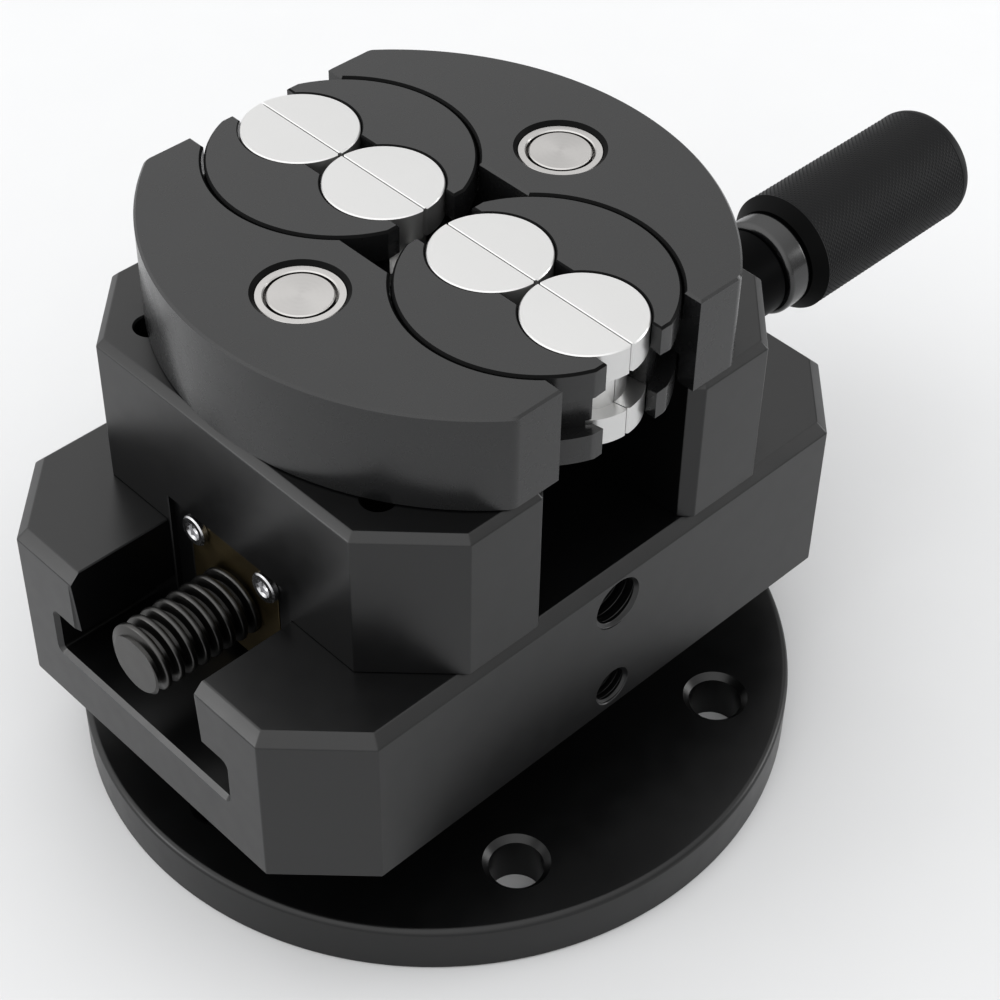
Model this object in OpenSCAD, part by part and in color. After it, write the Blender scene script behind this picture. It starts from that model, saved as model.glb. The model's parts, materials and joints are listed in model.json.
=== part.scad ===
// Self-centring fractal vise on a round swivel base.
// +X runs along the lead screw towards the handle, +Z is up.
// The origin is the centre of the underside of the base plate.

/* [Base plate] */
// Diameter of the round base plate
base_d = 102; // [92:1:130]
// Thickness of the base plate
base_h = 7.8; // [6:0.2:14]
// Chamfer round the top edge of the base plate
base_edge = 1; // [0.4:0.1:2]
// Pitch circle of the mounting holes
bolt_circle = 82; // [72:1:86]
// Number of mounting holes
bolt_count = 6; // [3:1:8]
// Bore of a mounting hole
bolt_hole_d = 7.5; // [4.5:0.1:8]
// Chamfer at the mouth of a mounting hole
bolt_edge = 0.75; // [0.2:0.05:1]
// Angle that the base plate is turned by at rest, in degrees
bolt_turn = 2; // [-10:0.5:10]

/* [Swivel] */
// Diameter of the foot of the swivel post
post_foot_d = 42; // [38:1:44]
// Thickness of the foot of the swivel post
post_foot_h = 4; // [3:0.5:6]
// Diameter of the neck of the swivel post
post_neck_d = 30; // [26:1:32]
// Height of the post from the base plate to its shoulder
post_h = 13.5; // [10:0.5:24]
// Diameter of the spigot that the body turns on
spigot_d = 18; // [16:1:20]
// Thickness of the thrust washer under the body
washer_t = 0.8; // [0.5:0.1:1.5]
// Number of screws that hold the post to the base plate
post_screw_count = 4; // [3:1:6]
// Thread diameter of the post screws
post_screw_d = 4; // [3:0.5:4]
// Diameter of the retaining cap over the spigot
cap_d = 26; // [24:0.5:29]
// Thickness of the retaining cap
cap_t = 1.8; // [1.5:0.1:2.2]
// Thread diameter of the screw through the retaining cap
cap_screw_d = 5; // [4:0.5:6]
// Length of the screw through the retaining cap
cap_screw_l = 14; // [10:1:18]

/* [Body] */
// Length of the body along the lead screw
body_l = 102; // [96:1:130]
// Width of the body
body_w = 68.1; // [64:0.5:80]
// Height of the body
body_h = 25.6; // [24:0.2:34]
// Corner chamfer of the body, seen from above
body_corner = 10.2; // [6:0.2:14]
// Chamfer round the top edge of the body
body_edge = 1.5; // [0.5:0.1:3]
// Width of the mouth of the T-slot
mouth_w = 24.6; // [23:0.2:27]
// Width of the foot of the T-slot
foot_w = 34.4; // [31:0.2:40]
// Height of the foot of the T-slot
foot_h = 6.7; // [5:0.1:8]
// Thickness of the body under the T-slot
floor_h = 8.7; // [8:0.1:12]
// Tap drill of the upper side holes, which hold the screw yoke
yoke_hole_d = 6.8; // [5:0.2:7]
// Tap drill of the lower side holes, which lock the swivel
lock_hole_d = 5; // [3.5:0.2:5.4]
// Height of the lower side holes above the underside of the body
lock_hole_h = 4; // [3.6:0.1:4.4]
// Chamfer at the mouth of a tapped hole
tap_edge = 0.5; // [0.2:0.1:0.8]
// Length of a set screw in a side hole
set_screw_l = 10; // [6:1:14]

/* [Lead screw] */
// Height of the screw axis above the underside of the body
axis_h = 19.9; // [19:0.1:21]
// Outer diameter of the trapezoidal thread
screw_d = 10; // [8.5:0.5:10.5]
// Diameter of the plain journal in the yoke
journal_d = 7; // [6:0.5:7.5]
// Chamfer at the free end of the screw
screw_edge = 0.6; // [0.2:0.1:1]
// Diameter of the plain shank in the handle
shank_d = 7; // [5:0.5:8]
// Length of the shank that the grip covers
shank_in_grip = 22; // [12:1:30]
// Length of the yoke along the screw
yoke_l = 10; // [8:0.5:14]
// Thread diameter of the screws in the yoke cap
yoke_screw_d = 3; // [2:0.5:3]
// Distance from the yoke's end to the axis of its cap screws
yoke_screw_inset = 3.9; // [3.5:0.1:4.2]

/* [Handle] */
// Gap between the body and the handle's collar
collar_gap = 1.5; // [1:0.5:4]
// Length of the handle's collar
collar_l = 12; // [8:0.5:20]
// Diameter of the handle's collar
collar_d = 13.6; // [12:0.2:16]
// Length of the handle's neck ring
neck_l = 5; // [3:0.5:8]
// Diameter of the handle's neck ring
neck_d = 15.2; // [13:0.2:18]
// Length of the grip
grip_l = 37.5; // [28:0.5:60]
// Diameter of the grip
grip_d = 18.8; // [17:0.2:24]
// Chamfer at the inner end of the grip
grip_chamfer = 1.8; // [0.5:0.1:2]
// Radius at the free end of the grip
grip_round = 3; // [1:0.5:5]
// Thread diameter of the handle's set screw
handle_screw_d = 4; // [3:0.5:5]

/* [Carriers] */
// Distance from the jaw plane to the inner face of a carrier
carrier_in = 12.55; // [11:0.25:14]
// Length of a carrier along the screw
carrier_l = 23.05; // [20:0.25:26]
// Height of a carrier above the body
carrier_h = 22.8; // [20:0.2:30]
// Distance that the carrier's sides lie inside the body's sides
carrier_inset = 0.35; // [0.1:0.05:2]
// Corner chamfer at the outer end of a carrier
carrier_corner = 9.9; // [5:0.1:12]
// Chamfer of the inner upright edges of a carrier
carrier_inner_edge = 1.65; // [0.5:0.05:3]
// Chamfer round the top of a carrier
carrier_edge = 1; // [0.3:0.1:2]
// Distance from the pivot to a tapped hole in the carrier's top, along the screw
stop_hole_x = 7.1; // [6.5:0.1:8]
// Distance from the centre line to a tapped hole in the carrier's top
stop_hole_y = 21.35; // [16:0.25:22]
// Tap drill of the holes in the carrier's top
stop_hole_d = 4.2; // [3:0.1:4.4]
// Depth of the holes in the carrier's top
stop_hole_depth = 12; // [6:1:16]

/* [Nuts] */
// Width of a nut
nut_w = 17.2; // [16.6:0.1:19]
// Height of a nut above the screw axis
nut_top = 9.5; // [9:0.1:11]
// Depth of a nut below the screw axis
nut_drop = 9; // [7.5:0.1:10]
// Length of a nut along the screw
nut_l = 10; // [8:0.5:14]
// Lower corner chamfer of a nut
nut_corner = 4; // [1:0.5:5]
// Depth of the relief round the nut in the carrier's outer face
nut_recess = 0.9; // [0.5:0.1:1.5]
// Width of that relief
nut_relief_w = 23.5; // [22.6:0.1:24]
// Height of that relief above the nut
nut_relief_top = 0.7; // [0.3:0.1:2]
// Thread diameter of a nut screw
nut_screw_d = 2.5; // [2:0.1:2.6]
// Length of a nut screw under its head
nut_screw_l = 16; // [14:1:18]
// Height of the low head of a nut screw
nut_head_h = 1; // [0.8:0.1:2.5]
// Distance from the centre line to a nut screw
nut_screw_y = 6.9; // [6.8:0.05:6.95]
// Height of a nut screw above the screw axis
nut_screw_z = 7.4; // [7:0.1:7.5]

/* [Jaws] */
// Height of the jaws
jaw_h = 14.15; // [12:0.1:20]
// Distance from the jaw plane to the pivot of a big jaw
pivot_x = 21.7; // [21:0.1:23]
// Radius of the outer arc of a big jaw
jaw_r = 42.5; // [41:0.25:46]
// Distance from the jaw plane to the middle of that arc
jaw_arc_x = 7.2; // [5:0.2:9]
// Distance that the ends of a big jaw lie inside the carrier's sides
jaw_inset = 0.1; // [0:0.05:1]
// Distance from the jaw plane to the blunt tips of a big jaw
big_tip = 11.6; // [10.5:0.1:13]
// Radius of a medium disc
medium_r = 17.3; // [16.5:0.1:17.6]
// Space between the two medium discs
medium_space = 0.8; // [0.4:0.1:2]
// Distance from the jaw plane to the blunt tips of a medium jaw
medium_tip = 4.2; // [3.6:0.1:5]
// Metal left off the ends of a medium disc
medium_cut = 1.2; // [0.6:0.1:1.8]
// Rim of a medium disc outside its small discs
small_rim = 1.32; // [1.1:0.05:2.5]
// Space between two small discs
small_space = 0.64; // [0.4:0.1:1.5]
// Depth of the dovetail groove round a disc
groove_depth = 2.4; // [1.8:0.1:2.8]
// Height of the dovetail groove at its bottom
groove_h = 6.7; // [5.5:0.1:8]
// Undercut of the dovetail groove at each side
groove_flare = 0.5; // [0.2:0.1:0.8]
// Chamfer round the top edges of the jaws
jaw_edge = 0.3; // [0.1:0.05:0.6]
// Chamfer at the ends of a small jaw's flat face
small_notch = 0.5; // [0.2:0.1:0.8]

/* [Pivots] */
// Outer diameter of the bush in a big jaw
bush_d = 11.2; // [10.4:0.1:13]
// Diameter of the head of the pivot pin
pin_head_d = 8.2; // [7.8:0.1:9]
// Thickness of the head of the pivot pin
pin_head_h = 2.5; // [1.5:0.1:4]
// Diameter of the shank of the pivot pin
pin_d = 6; // [5:0.1:6.6]
// Length of the pivot pin inside the carrier
pin_in_carrier = 12; // [8:1:16]
// Depth of the bush below the top of the jaw
bush_recess = 0.5; // [0.1:0.1:1.5]
// Chamfer round the bush hole at the top of the jaw
bush_edge = 0.5; // [0.2:0.1:1]

/* [Clearances] */
// Gap between the left and the right jaws when the vise is closed
closed_gap = 0.12; // [0.08:0.02:0.4]
// Gap between one size of disc and the next, seen from above
seam = 0.3; // [0.2:0.05:0.5]
// Gap between a dovetail rib and its groove
rib_gap = 0.15; // [0.1:0.05:0.3]
// Radial gap between the head of the pivot pin and its seat in the bush
head_gap = 0.35; // [0.1:0.05:0.5]
// Gap under the parts that slide on a flat face
slide_gap = 0.05; // [0.02:0.01:0.15]
// Gap at each side of a part that slides in the slot
side_gap = 0.1; // [0.05:0.05:0.3]
// Radial gap of a turning fit
turn_gap = 0.05; // [0.02:0.01:0.1]
// Radial gap round a thread that passes freely
thread_gap = 0.6; // [0.3:0.1:1]

/* [Hidden] */
$fn = 96;
past = 1;
base_r = base_d / 2;
post_top = base_h + post_h;
body_z = post_top + washer_t;
body_top = body_z + body_h;
floor_z = body_z + floor_h;
foot_z = floor_z + foot_h;
axis_z = body_z + axis_h;
lock_z = body_z + lock_hole_h;
cap_z = floor_z - cap_t - slide_gap;
post_screw_circle = (post_foot_d + post_neck_d) / 2 - post_screw_d;
post_screw_head_d = 2 * post_screw_d;
cap_screw_head_d = cap_screw_d + 2 * cap_t;
carrier_w = body_w - 2 * carrier_inset;
carrier_out = carrier_in + carrier_l;
carrier_z = body_top + slide_gap;
carrier_top = carrier_z + carrier_h;
stem_w = mouth_w - 2 * side_gap;
channel_d = screw_d + 2 * thread_gap;
nut_x = carrier_out - nut_recess;
nut_head_d = 1.75 * nut_screw_d;
journal_l = yoke_l + 2 * turn_gap;
yoke_w = mouth_w - 2 * slide_gap;
yoke_top = body_top - 2 * side_gap;
collar_x = body_l / 2 + collar_gap;
neck_x = collar_x + collar_l;
grip_x = neck_x + neck_l;
jaw_z = carrier_top + slide_gap;
jaw_top = jaw_z + jaw_h;
disc_z = jaw_z + side_gap;
jaw_w = carrier_w - 2 * jaw_inset;
plane_x = closed_gap / 2;
medium_y = medium_r + medium_space / 2;
small_r = (medium_r - small_rim - seam - small_space / 2) / 2;
small_y = small_r + small_space / 2;
groove_z = (jaw_h - groove_h) / 2;
bush_top = jaw_top - bush_recess;
// A cap screw is sized by its thread: head 1.75 times as wide, hexagon socket 0.9 times across corners
socket_share = 0.9;

// General shapes

// Turns children that stand on Z so that they point along +X
module along_x() {
    rotate([0, 90, 0]) children();
}

// Turns children that stand on Z so that they point along -Y
module along_front() {
    rotate([90, 0, 0]) children();
}

// Makes a front copy as it is and a rear copy mirrored across the centre line
module front_and_rear() {
    children();
    mirror([0, 1, 0]) children();
}

// Left-hand parts are drawn as they are and right-hand parts mirrored
module right_hand() {
    mirror([1, 0, 0]) children();
}

// Cuts a 45 degree chamfer of size c along the top edges of a convex prism
module top_chamfer(points, top, c) {
    for (i = [0 : len(points) - 1]) {
        a = points[i];
        b = points[(i + 1) % len(points)];
        reach = norm(b - a) + 4 * c;
        translate([a[0], a[1], top - c])
            rotate([0, 0, atan2(b[1] - a[1], b[0] - a[0])])
                rotate([45, 0, 0])
                    translate([-2 * c, -2 * c, 0])
                        cube([reach, 6 * c, 3 * c]);
    }
}

// A rectangle from x0 to x1, w wide, with corner chamfers c0 at x0 and c1 at x1
function plate_outline(x0, x1, w, c0, c1) = [
    [x0 + c0, -w / 2], [x1 - c1, -w / 2], [x1, -w / 2 + c1], [x1, w / 2 - c1],
    [x1 - c1, w / 2], [x0 + c0, w / 2], [x0, w / 2 - c0], [x0, -w / 2 + c0]
];

module chamfered_prism(points, bottom, top, c) {
    difference() {
        translate([0, 0, bottom]) linear_extrude(top - bottom) polygon(points);
        top_chamfer(points, top, c);
    }
}

// A bore along Z from z = 0 down to z = -depth with a chamfer at its mouth
module tapped_bore(d, depth, edge) {
    translate([0, 0, -depth]) cylinder(d = d, h = depth + past);
    translate([0, 0, -edge]) cylinder(d1 = d, d2 = d + 2 * (edge + past), h = edge + past);
}

// A cap screw whose head stands on z = 0 and whose shank points down
module cap_screw(d, length, head_h) {
    difference() {
        union() {
            cylinder(d = 1.75 * d, h = head_h);
            translate([0, 0, -length]) cylinder(d = d, h = length + head_h / 2);
        }
        translate([0, 0, head_h / 2]) cylinder(d = socket_share * d, h = head_h, $fn = 6);
    }
}

// A countersunk screw whose flat top is z = 0 and whose shank points down
module countersunk_screw(d, head_d, length) {
    cone_h = (head_d - d) / 2;
    difference() {
        union() {
            translate([0, 0, -cone_h]) cylinder(d1 = d, d2 = head_d, h = cone_h);
            translate([0, 0, -length]) cylinder(d = d, h = length);
        }
        translate([0, 0, -cone_h]) cylinder(d = socket_share * d, h = 2 * cone_h, $fn = 6);
    }
}

// The room for a countersunk screw
module countersink(d, head_d, length) {
    cone_h = (head_d - d) / 2;
    translate([0, 0, -cone_h]) cylinder(d1 = d, d2 = head_d, h = cone_h);
    translate([0, 0, -length]) cylinder(d = d, h = length + past);
    cylinder(d = head_d, h = past);
}

// A set screw of length l that starts at z = 0 and points up, with a hexagon socket at its top
module set_screw(d, l) {
    difference() {
        cylinder(d = d, h = l);
        translate([0, 0, l - d / 2]) cylinder(d = 0.6 * d, h = d, $fn = 6);
    }
}

// Base and swivel

// Places children at each post screw
module at_post_screws() {
    for (i = [0 : post_screw_count - 1])
        rotate([0, 0, (i + 0.5) * 360 / post_screw_count])
            translate([post_screw_circle / 2, 0, 0]) children();
}

module base_plate() {
    color("#1d1e20")
    difference() {
        rotate_extrude()
            polygon([[0, 0], [base_r, 0], [base_r, base_h - base_edge],
                     [base_r - base_edge, base_h], [0, base_h]]);
        for (i = [0 : bolt_count - 1])
            rotate([0, 0, bolt_turn + i * 360 / bolt_count])
                translate([bolt_circle / 2, 0, base_h])
                    countersink(bolt_hole_d, bolt_hole_d + 2 * bolt_edge, base_h + past);
        at_post_screws() mirror([0, 0, 1])
            countersink(post_screw_d, post_screw_head_d, base_h + past);
    }
}

module swivel_post() {
    color("#232427")
    difference() {
        union() {
            translate([0, 0, base_h]) cylinder(d = post_foot_d, h = post_foot_h);
            translate([0, 0, base_h]) cylinder(d = post_neck_d, h = post_h);
            translate([0, 0, base_h]) cylinder(d = spigot_d, h = cap_z - base_h);
        }
        at_post_screws() translate([0, 0, base_h - past])
            cylinder(d = post_screw_d, h = post_foot_h - past / 2 + past);
        translate([0, 0, cap_z + cap_t - cap_screw_l])
            cylinder(d = cap_screw_d, h = cap_screw_l);
    }
}

module post_screws() {
    color("#8c8d90")
    at_post_screws() mirror([0, 0, 1])
        countersunk_screw(post_screw_d, post_screw_head_d, base_h + post_foot_h - past / 2);
}

module swivel_washer() {
    color("#a8853f")
    translate([0, 0, post_top]) difference() {
        cylinder(d = post_neck_d, h = washer_t);
        translate([0, 0, -past]) cylinder(d = spigot_d + 2 * turn_gap, h = washer_t + 2 * past);
    }
}

module swivel_cap() {
    color("#3a3b3e")
    translate([0, 0, cap_z]) difference() {
        cylinder(d = cap_d, h = cap_t);
        translate([0, 0, cap_t]) countersink(cap_screw_d, cap_screw_head_d, cap_t + past);
    }
}

module swivel_cap_screw() {
    color("#8c8d90")
    translate([0, 0, cap_z + cap_t]) countersunk_screw(cap_screw_d, cap_screw_head_d, cap_screw_l);
}

// Body

module vise_body() {
    color("#1b1c1e")
    difference() {
        chamfered_prism(plate_outline(-body_l / 2, body_l / 2, body_w, body_corner, body_corner),
                        body_z, body_top, body_edge);
        translate([-body_l, -mouth_w / 2, floor_z]) cube([2 * body_l, mouth_w, body_h]);
        translate([-body_l, -foot_w / 2, floor_z]) cube([2 * body_l, foot_w, foot_h]);
        translate([0, 0, body_z - past])
            cylinder(d = spigot_d + 2 * turn_gap, h = floor_h + 2 * past);
        translate([0, 0, cap_z - slide_gap])
            cylinder(d = cap_d + 2 * side_gap, h = cap_t + past);
        front_and_rear() {
            translate([0, -body_w / 2, axis_z]) along_front()
                tapped_bore(yoke_hole_d, (body_w - mouth_w) / 2 + past, tap_edge);
            translate([0, -body_w / 2, lock_z]) along_front()
                tapped_bore(lock_hole_d, (body_w - spigot_d) / 2 + past, tap_edge);
        }
    }
}

module swivel_lock_screws() {
    color("#2c2d30")
    front_and_rear()
        translate([0, -spigot_d / 2 - 2 * turn_gap, lock_z]) along_front()
            set_screw(lock_hole_d, set_screw_l);
}

// Yoke that holds the middle of the lead screw

module yoke_block(bottom, top) {
    difference() {
        translate([-yoke_l / 2, -yoke_w / 2, bottom]) cube([yoke_l, yoke_w, top - bottom]);
        translate([-yoke_l, 0, axis_z]) along_x()
            cylinder(d = journal_d + 2 * turn_gap, h = 2 * yoke_l);
    }
}

// Places children on the axis of each yoke cap screw, at the head's seat
module at_yoke_screws() {
    front_and_rear()
        translate([0, -yoke_w / 2 + yoke_screw_inset, yoke_top - yoke_screw_d]) children();
}

module yoke_base() {
    color("#2a2b2e")
    difference() {
        yoke_block(floor_z, axis_z);
        at_yoke_screws() translate([0, 0, -2 * yoke_screw_d - past])
            cylinder(d = yoke_screw_d, h = 4 * yoke_screw_d);
    }
}

module yoke_cap() {
    color("#2a2b2e")
    difference() {
        yoke_block(axis_z, yoke_top);
        at_yoke_screws() {
            translate([0, 0, -body_h]) cylinder(d = yoke_screw_d, h = 2 * body_h);
            cylinder(d = 1.75 * yoke_screw_d, h = body_h);
        }
    }
}

module yoke_cap_screws() {
    color("#8c8d90")
    at_yoke_screws() cap_screw(yoke_screw_d, 2 * yoke_screw_d + past, yoke_screw_d);
}

module yoke_set_screws() {
    color("#2c2d30")
    front_and_rear()
        translate([0, -yoke_w / 2, axis_z]) along_front()
            set_screw(yoke_hole_d, set_screw_l + (mouth_w - yoke_w) / 2);
}

// Lead screw and handle

module lead_screw() {
    color("#4a4b4e")
    translate([0, 0, axis_z]) along_x() difference() {
        union() {
            translate([0, 0, -body_l / 2]) cylinder(d1 = screw_d - 2 * screw_edge, d2 = screw_d,
                                                    h = screw_edge);
            translate([0, 0, -body_l / 2 + screw_edge])
                cylinder(d = screw_d, h = body_l - 2 * screw_edge);
            translate([0, 0, body_l / 2 - screw_edge])
                cylinder(d1 = screw_d, d2 = screw_d - 2 * screw_edge, h = screw_edge);
            cylinder(d = shank_d, h = grip_x + shank_in_grip);
        }
        difference() {
            translate([0, 0, -journal_l / 2]) cylinder(d = 2 * screw_d, h = journal_l);
            translate([0, 0, -journal_l]) cylinder(d = journal_d, h = 2 * journal_l);
        }
    }
}

module handle_collar() {
    color("#141517")
    translate([collar_x, 0, axis_z]) along_x() difference() {
        cylinder(d = collar_d, h = collar_l);
        translate([0, 0, -past]) cylinder(d = shank_d, h = collar_l + 2 * past);
        translate([0, 0, collar_l / 2]) rotate([90, 0, 180]) cylinder(d = handle_screw_d, h = collar_d);
    }
}

module handle_set_screw() {
    color("#2c2d30")
    translate([collar_x + collar_l / 2, shank_d / 2, axis_z]) rotate([-90, 0, 0])
        set_screw(handle_screw_d, (collar_d - shank_d) / 2 - side_gap);
}

module handle_neck() {
    color("#101113")
    translate([neck_x, 0, axis_z]) along_x() difference() {
        cylinder(d = neck_d, h = neck_l);
        translate([0, 0, -past]) cylinder(d = shank_d, h = neck_l + 2 * past);
    }
}

module handle_grip() {
    color("#26272a")
    translate([grip_x, 0, axis_z]) along_x() difference() {
        rotate_extrude()
            union() {
                polygon([[0, 0], [grip_d / 2 - grip_chamfer, 0], [grip_d / 2, grip_chamfer],
                         [grip_d / 2, grip_l - grip_round], [grip_d / 2 - grip_round, grip_l - grip_round],
                         [grip_d / 2 - grip_round, grip_l], [0, grip_l]]);
                translate([grip_d / 2 - grip_round, grip_l - grip_round]) intersection() {
                    circle(r = grip_round);
                    square(grip_round);
                }
            }
        translate([0, 0, -past]) cylinder(d = shank_d, h = shank_in_grip + past);
    }
}

// Left carrier and its nut

module carrier() {
    color("#1b1c1e")
    difference() {
        union() {
            chamfered_prism(plate_outline(-carrier_out, -carrier_in, carrier_w, carrier_corner,
                                          carrier_inner_edge), carrier_z, carrier_top, carrier_edge);
            translate([-carrier_out, -stem_w / 2, floor_z + slide_gap])
                cube([carrier_l, stem_w, carrier_z + past - floor_z]);
            translate([-carrier_out, -foot_w / 2 + side_gap, floor_z + slide_gap])
                cube([carrier_l, foot_w - 2 * side_gap, foot_h - 2 * slide_gap]);
        }
        translate([-2 * carrier_out, 0, axis_z]) along_x() cylinder(d = channel_d, h = 2 * carrier_out);
        translate([-carrier_out - past, -nut_relief_w / 2, body_z])
            cube([nut_recess + past, nut_relief_w, axis_z + nut_top + nut_relief_top - body_z]);
        translate([-carrier_out - past, -nut_w / 2 - slide_gap, body_z])
            cube([nut_recess + nut_l + past, nut_w + 2 * slide_gap, axis_z + nut_top + slide_gap - body_z]);
        front_and_rear() {
            translate([-nut_x, -nut_screw_y, axis_z + nut_screw_z]) along_x()
                cylinder(d = nut_screw_d, h = nut_screw_l + past);
            translate([-pivot_x - stop_hole_x, -stop_hole_y, carrier_top])
                tapped_bore(stop_hole_d, stop_hole_depth, tap_edge / 2);
        }
        translate([-pivot_x, 0, carrier_top - pin_in_carrier]) cylinder(d = pin_d, h = carrier_h);
    }
}

module nut() {
    color("#8a6d33")
    difference() {
        translate([-nut_x, 0, axis_z]) rotate([90, 0, 90]) linear_extrude(nut_l)
            polygon([[-nut_w / 2, nut_top], [-nut_w / 2, nut_corner - nut_drop],
                     [-nut_w / 2 + nut_corner, -nut_drop], [nut_w / 2 - nut_corner, -nut_drop],
                     [nut_w / 2, nut_corner - nut_drop], [nut_w / 2, nut_top]]);
        translate([-2 * nut_x, 0, axis_z]) along_x()
            cylinder(d = screw_d + 2 * turn_gap, h = 2 * nut_x);
        front_and_rear()
            translate([-2 * nut_x, -nut_screw_y, axis_z + nut_screw_z]) along_x()
                cylinder(d = nut_screw_d, h = 2 * nut_x);
    }
}

module nut_screws() {
    color("#8c8d90")
    front_and_rear()
        translate([-nut_x, -nut_screw_y, axis_z + nut_screw_z]) rotate([0, -90, 0])
            cap_screw(nut_screw_d, nut_screw_l, nut_head_h);
}

// Left jaws

// Full disc with a dovetail groove round it, which stands on disc_z
module grooved_disc(r) {
    translate([0, 0, disc_z])
        rotate_extrude()
            polygon([[0, 0], [r, 0], [r, groove_z + groove_flare - side_gap],
                     [r - groove_depth, groove_z - side_gap],
                     [r - groove_depth, groove_z + groove_h - side_gap],
                     [r, groove_z + groove_h - groove_flare - side_gap],
                     [r, jaw_top - disc_z - jaw_edge], [r - jaw_edge, jaw_top - disc_z],
                     [0, jaw_top - disc_z]]);
}

// The room that such a disc turns in, which leaves a dovetail rib for its groove
module disc_room(r) {
    rib_r = r - groove_depth + rib_gap;
    rise = groove_flare * (r + seam - rib_r) / groove_depth;
    low = jaw_z + groove_z + rib_gap;
    high = jaw_z + groove_z + groove_h - rib_gap;
    rotate_extrude()
        polygon([[0, jaw_z - past], [r + seam, jaw_z - past], [r + seam, low + rise],
                 [rib_r, low], [rib_r, high], [r + seam, high - rise],
                 [r + seam, jaw_top - jaw_edge], [r + seam + jaw_edge, jaw_top],
                 [r + seam + jaw_edge, jaw_top + past], [0, jaw_top + past]]);
}

// Everything on the left of x = -limit between y = -reach and y = +reach
module left_of(limit, reach) {
    translate([-4 * jaw_r - limit, -reach, 0]) cube([4 * jaw_r, 2 * reach, 2 * jaw_top]);
}

// A 45 degree chamfer along the top edge of the flat at y = -reach
module flat_edge(reach) {
    translate([-2 * jaw_r, -reach, jaw_top - jaw_edge])
        rotate([45, 0, 0])
            translate([0, -jaw_edge, 0]) cube([2 * jaw_r, 3 * jaw_edge, 3 * jaw_edge]);
}

module big_jaw() {
    color("#1b1c1e")
    difference() {
        intersection() {
            translate([jaw_arc_x, 0, jaw_z]) rotate_extrude()
                polygon([[0, 0], [jaw_r, 0], [jaw_r, jaw_h - jaw_edge], [jaw_r - jaw_edge, jaw_h],
                         [0, jaw_h]]);
            left_of(big_tip, jaw_w / 2);
        }
        front_and_rear() {
            translate([0, -medium_y, 0]) disc_room(medium_r);
            flat_edge(jaw_w / 2);
        }
        translate([-pivot_x, 0, jaw_z - past]) cylinder(d = bush_d, h = jaw_h + 2 * past);
        translate([-pivot_x, 0, jaw_top - bush_edge])
            cylinder(d1 = bush_d, d2 = bush_d + 2 * (bush_edge + past), h = bush_edge + past);
    }
}

// side is -1 for the front jaw and +1 for the rear jaw
module medium_jaw(side) {
    color("#1d1e20")
    translate([0, side * medium_y, 0]) difference() {
        intersection() {
            grooved_disc(medium_r);
            left_of(medium_tip, medium_r - medium_cut);
        }
        front_and_rear() {
            translate([0, -small_y, 0]) disc_room(small_r);
            flat_edge(medium_r - medium_cut);
        }
    }
}

// place counts from 1 at the front to 4 at the rear
module small_jaw(place) {
    side = place > 2 ? 1 : -1;
    end = place % 2 == 1 ? -1 : 1;
    color("#d8d9dc")
    translate([0, side * medium_y + end * small_y, 0]) difference() {
        intersection() {
            grooved_disc(small_r);
            left_of(plane_x, small_r);
        }
        front_and_rear()
            translate([-plane_x, -small_r, 0]) rotate([0, 0, 45])
                cube([2 * small_notch, 2 * small_notch, 4 * jaw_top], center = true);
    }
}

module pivot_bush() {
    color("#b9babd")
    translate([-pivot_x, 0, 0]) difference() {
        translate([0, 0, jaw_z]) cylinder(d = bush_d, h = bush_top - jaw_z);
        cylinder(d = pin_d + 2 * turn_gap, h = 2 * jaw_top);
        translate([0, 0, bush_top - pin_head_h - turn_gap])
            cylinder(d = pin_head_d + 2 * head_gap, h = 2 * pin_head_h);
    }
}

module pivot_pin() {
    color("#c6c7ca")
    translate([-pivot_x, 0, 0]) {
        translate([0, 0, bush_top - pin_head_h]) cylinder(d = pin_head_d, h = pin_head_h);
        translate([0, 0, carrier_top - pin_in_carrier])
            cylinder(d = pin_d, h = bush_top - carrier_top + pin_in_carrier - pin_head_h / 2);
    }
}

base_plate();
swivel_post();
post_screws();
swivel_washer();
swivel_cap();
swivel_cap_screw();
vise_body();
swivel_lock_screws();
yoke_base();
yoke_cap();
yoke_cap_screws();
yoke_set_screws();
lead_screw();
handle_collar();
handle_neck();
handle_grip();
handle_set_screw();
carrier();  // left_carrier
nut();  // left_nut
nut_screws();  // left_nut_screws
pivot_pin();  // left_pivot_pin
pivot_bush();  // left_pivot_bush
big_jaw();  // left_big_jaw
medium_jaw(-1);  // left_medium_jaw_front
medium_jaw(1);  // left_medium_jaw_rear
small_jaw(1);  // left_small_jaw_1
small_jaw(2);  // left_small_jaw_2
small_jaw(3);  // left_small_jaw_3
small_jaw(4);  // left_small_jaw_4
right_hand() carrier();  // right_carrier
right_hand() nut();  // right_nut
right_hand() nut_screws();  // right_nut_screws
right_hand() pivot_pin();  // right_pivot_pin
right_hand() pivot_bush();  // right_pivot_bush
right_hand() big_jaw();  // right_big_jaw
right_hand() medium_jaw(-1);  // right_medium_jaw_front
right_hand() medium_jaw(1);  // right_medium_jaw_rear
right_hand() small_jaw(1);  // right_small_jaw_1
right_hand() small_jaw(2);  // right_small_jaw_2
right_hand() small_jaw(3);  // right_small_jaw_3
right_hand() small_jaw(4);  // right_small_jaw_4
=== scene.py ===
"""Looks of a self-centring fractal vise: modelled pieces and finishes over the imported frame.

Lengths are metres in the frame's own axes: +X runs along the lead screw towards the handle,
+Z is up, and the origin is the centre of the underside of the base plate.
"""

import json
import logging
import math
from contextlib import contextmanager
from dataclasses import dataclass
from enum import Enum
from typing import Callable, Iterator, Sequence

import bpy
from mathutils import Matrix, Vector


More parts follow.
